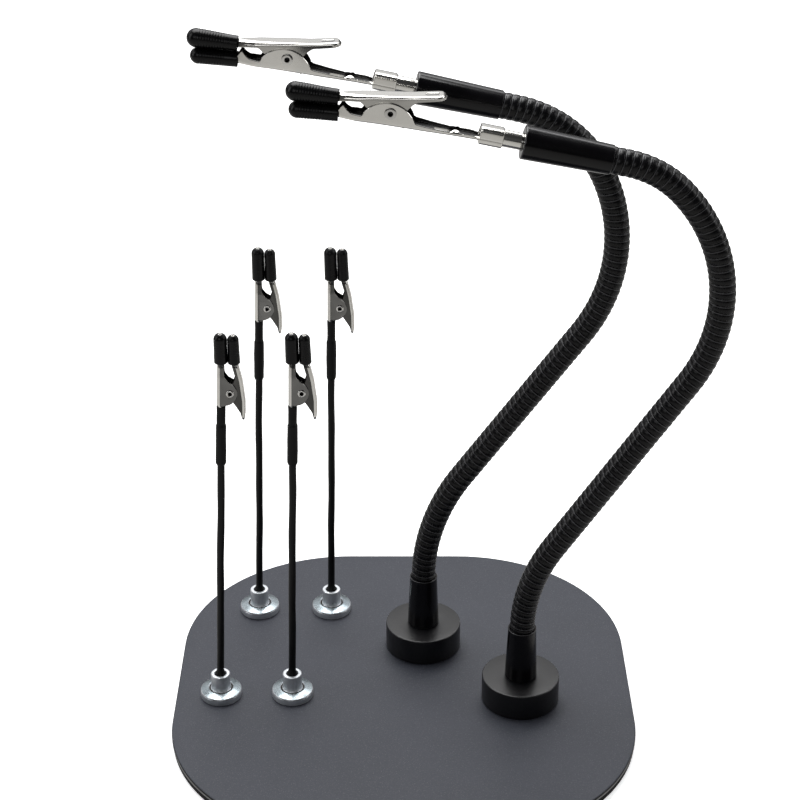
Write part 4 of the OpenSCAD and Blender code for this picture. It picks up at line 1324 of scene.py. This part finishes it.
# ------------------------------------------------------------------ stage, light and camera
def floor_material():
    """White to the camera; a dim surface with a faint warm glow to other rays."""
    mat = Material("floor_white")
    white = mat.cloud(
        mat.noise(scale=3, detail=2), (0.3, 0.7), dark=(0.90, 0.90, 0.90), light=(0.92, 0.92, 0.92)
    )
    mat.surface(Base_Color=white, Roughness=0.85, Specular_IOR_Level=0.1)
    lit = mat.node("ShaderNodeEmission", {"Color": (1, 1, 1), "Strength": 0.62})
    dim = mat.node("ShaderNodeBsdfDiffuse", {"Color": (0.30, 0.30, 0.305)})
    strength = mat.math("MULTIPLY", mat.ray("Glossy"), 0.20)
    glow = mat.node("ShaderNodeEmission", {"Color": (1, 0.965, 0.87), "Strength": strength})
    seen = mat.node("ShaderNodeAddShader", {0: mat.bsdf.outputs[0], 1: lit.outputs[0]})
    unseen = mat.node("ShaderNodeAddShader", {0: dim.outputs[0], 1: glow.outputs[0]})
    pick = mat.mix_shader(mat.ray("Camera"), unseen.outputs[0], seen.outputs[0])
    mat.feed(mat.out.inputs[0], pick)
    return mat.material


def add_floor():
    """Grid just under the pad; sizes in metres."""
    mesh = bpy.data.meshes.new("floor")
    count = 13
    grid = np.linspace(-3, 3, count)
    corners = [j * count + i for j in range(count - 1) for i in range(count - 1)]
    verts = [(x, y, -0.0004) for y in grid for x in grid]
    mesh.from_pydata(verts, [], [(a, a + 1, a + count + 1, a + count) for a in corners])
    ob = bpy.data.objects.new("floor", mesh)
    bpy.context.scene.collection.objects.link(ob)
    mesh.materials.append(floor_material())


def add_world():
    """Dark sky on the -Y side and a bright band on the +Y side; white to the camera."""
    world = bpy.data.worlds.new("studio")
    bpy.context.scene.world = world
    world.use_nodes = True
    graph = Graph(world.node_tree)
    direction = graph.node("ShaderNodeTexCoord").outputs["Generated"]
    split = graph.node("ShaderNodeSeparateXYZ", {0: direction})
    elevation = graph.remap(split.outputs["Z"], (-1, 1))

    def sky(levels):
        """Brightness by height: pairs of (sine of the elevation, level)."""
        ramp = graph.node("ShaderNodeValToRGB", {0: elevation})
        elements = ramp.color_ramp.elements
        elements[0].color = (0.02, 0.02, 0.02, 1)
        elements[1].color = (levels[-1][1],) * 3 + (1,)
        for z, level in levels[:-1]:
            elements.new((z + 1) / 2).color = (level, level, level * 1.01, 1)
        return ramp.outputs[0]

    front = sky([(0.0, 0.03), (0.25, 0.05), (0.5, 0.05), (0.8, 0.03), (1.0, 0.05)])
    back = sky([(0.0, 0.04), (0.14, 0.07), (0.28, 0.65), (0.55, 1.0), (0.72, 0.50),
                (0.9, 0.10), (1.0, 0.06)])
    color = graph.mix(graph.remap(split.outputs["Y"], (-0.05, 0.25)), front, back)
    studio = graph.node("ShaderNodeBackground", {"Color": color, "Strength": 1.0})
    white = graph.node("ShaderNodeBackground", {"Color": (1.0, 1.0, 1.0)})
    pick = graph.mix_shader(graph.ray("Camera"), studio.outputs[0], white.outputs[0])
    graph.node("ShaderNodeOutputWorld", {0: pick})


def add_light(name, place_at, target, size, watts):
    """Rectangular light aimed at a target; sizes and places in metres."""
    light = bpy.data.lights.new(name, "AREA")
    light.energy = watts
    light.shape = "RECTANGLE"
    light.size, light.size_y = size
    ob = bpy.data.objects.new(name, light)
    bpy.context.scene.collection.objects.link(ob)
    ob.location = place_at
    aim = Vector(target) - Vector(place_at)
    ob.rotation_euler = aim.to_track_quat("-Z", "Y").to_euler()


def add_camera():
    """Camera on the -Y side, looking down; metres."""
    elevation, distance = RAD(28.0), 1.0025
    target = Vector((-0.00142, 0.237, PLATE_TOP * MM))
    data = bpy.data.cameras.new("camera")
    camera = bpy.data.objects.new("camera", data)
    bpy.context.scene.collection.objects.link(camera)
    data.lens, data.sensor_width = 90.0, 36.0
    data.clip_start, data.clip_end = 0.02, 30
    away = Vector((0, -math.cos(elevation), math.sin(elevation)))
    camera.location = target + away * distance
    camera.rotation_euler = (-away).to_track_quat("-Z", "Y").to_euler()
    bpy.context.scene.camera = camera


base_plate()
anti_slip_pad()
for arm_name in NECKS:
    add_arm(arm_name)
for number, (holder_name, holder_lean) in enumerate(HOLDER_LEANS.items()):
    add_holder(holder_name, holder_lean, FIRST_SEED + number)

add_floor()
add_world()
# name, place, target, size, watts
for light_row in (
    ("key", (-0.12, 0.42, 1.35), (0, 0, 0.08), (1.0, 0.8), 17),
    ("back_strip", (0.15, 1.05, 1.25), (0, 0, 0.15), (1.5, 0.35), 6),
    ("left_strip", (-1.25, -0.25, 0.75), (0, 0, 0.15), (0.35, 1.2), 4.0),
    ("right_strip", (1.25, -0.05, 0.75), (0, 0, 0.15), (0.35, 1.2), 3.2),
    ("front_fill", (-0.3, -1.4, 0.85), (0, 0, 0.12), (0.9, 0.5), 2.2),
):
    add_light(*light_row)
add_camera()
bpy.context.scene.view_settings.view_transform = "Standard"
bpy.context.scene.view_settings.look = "None"
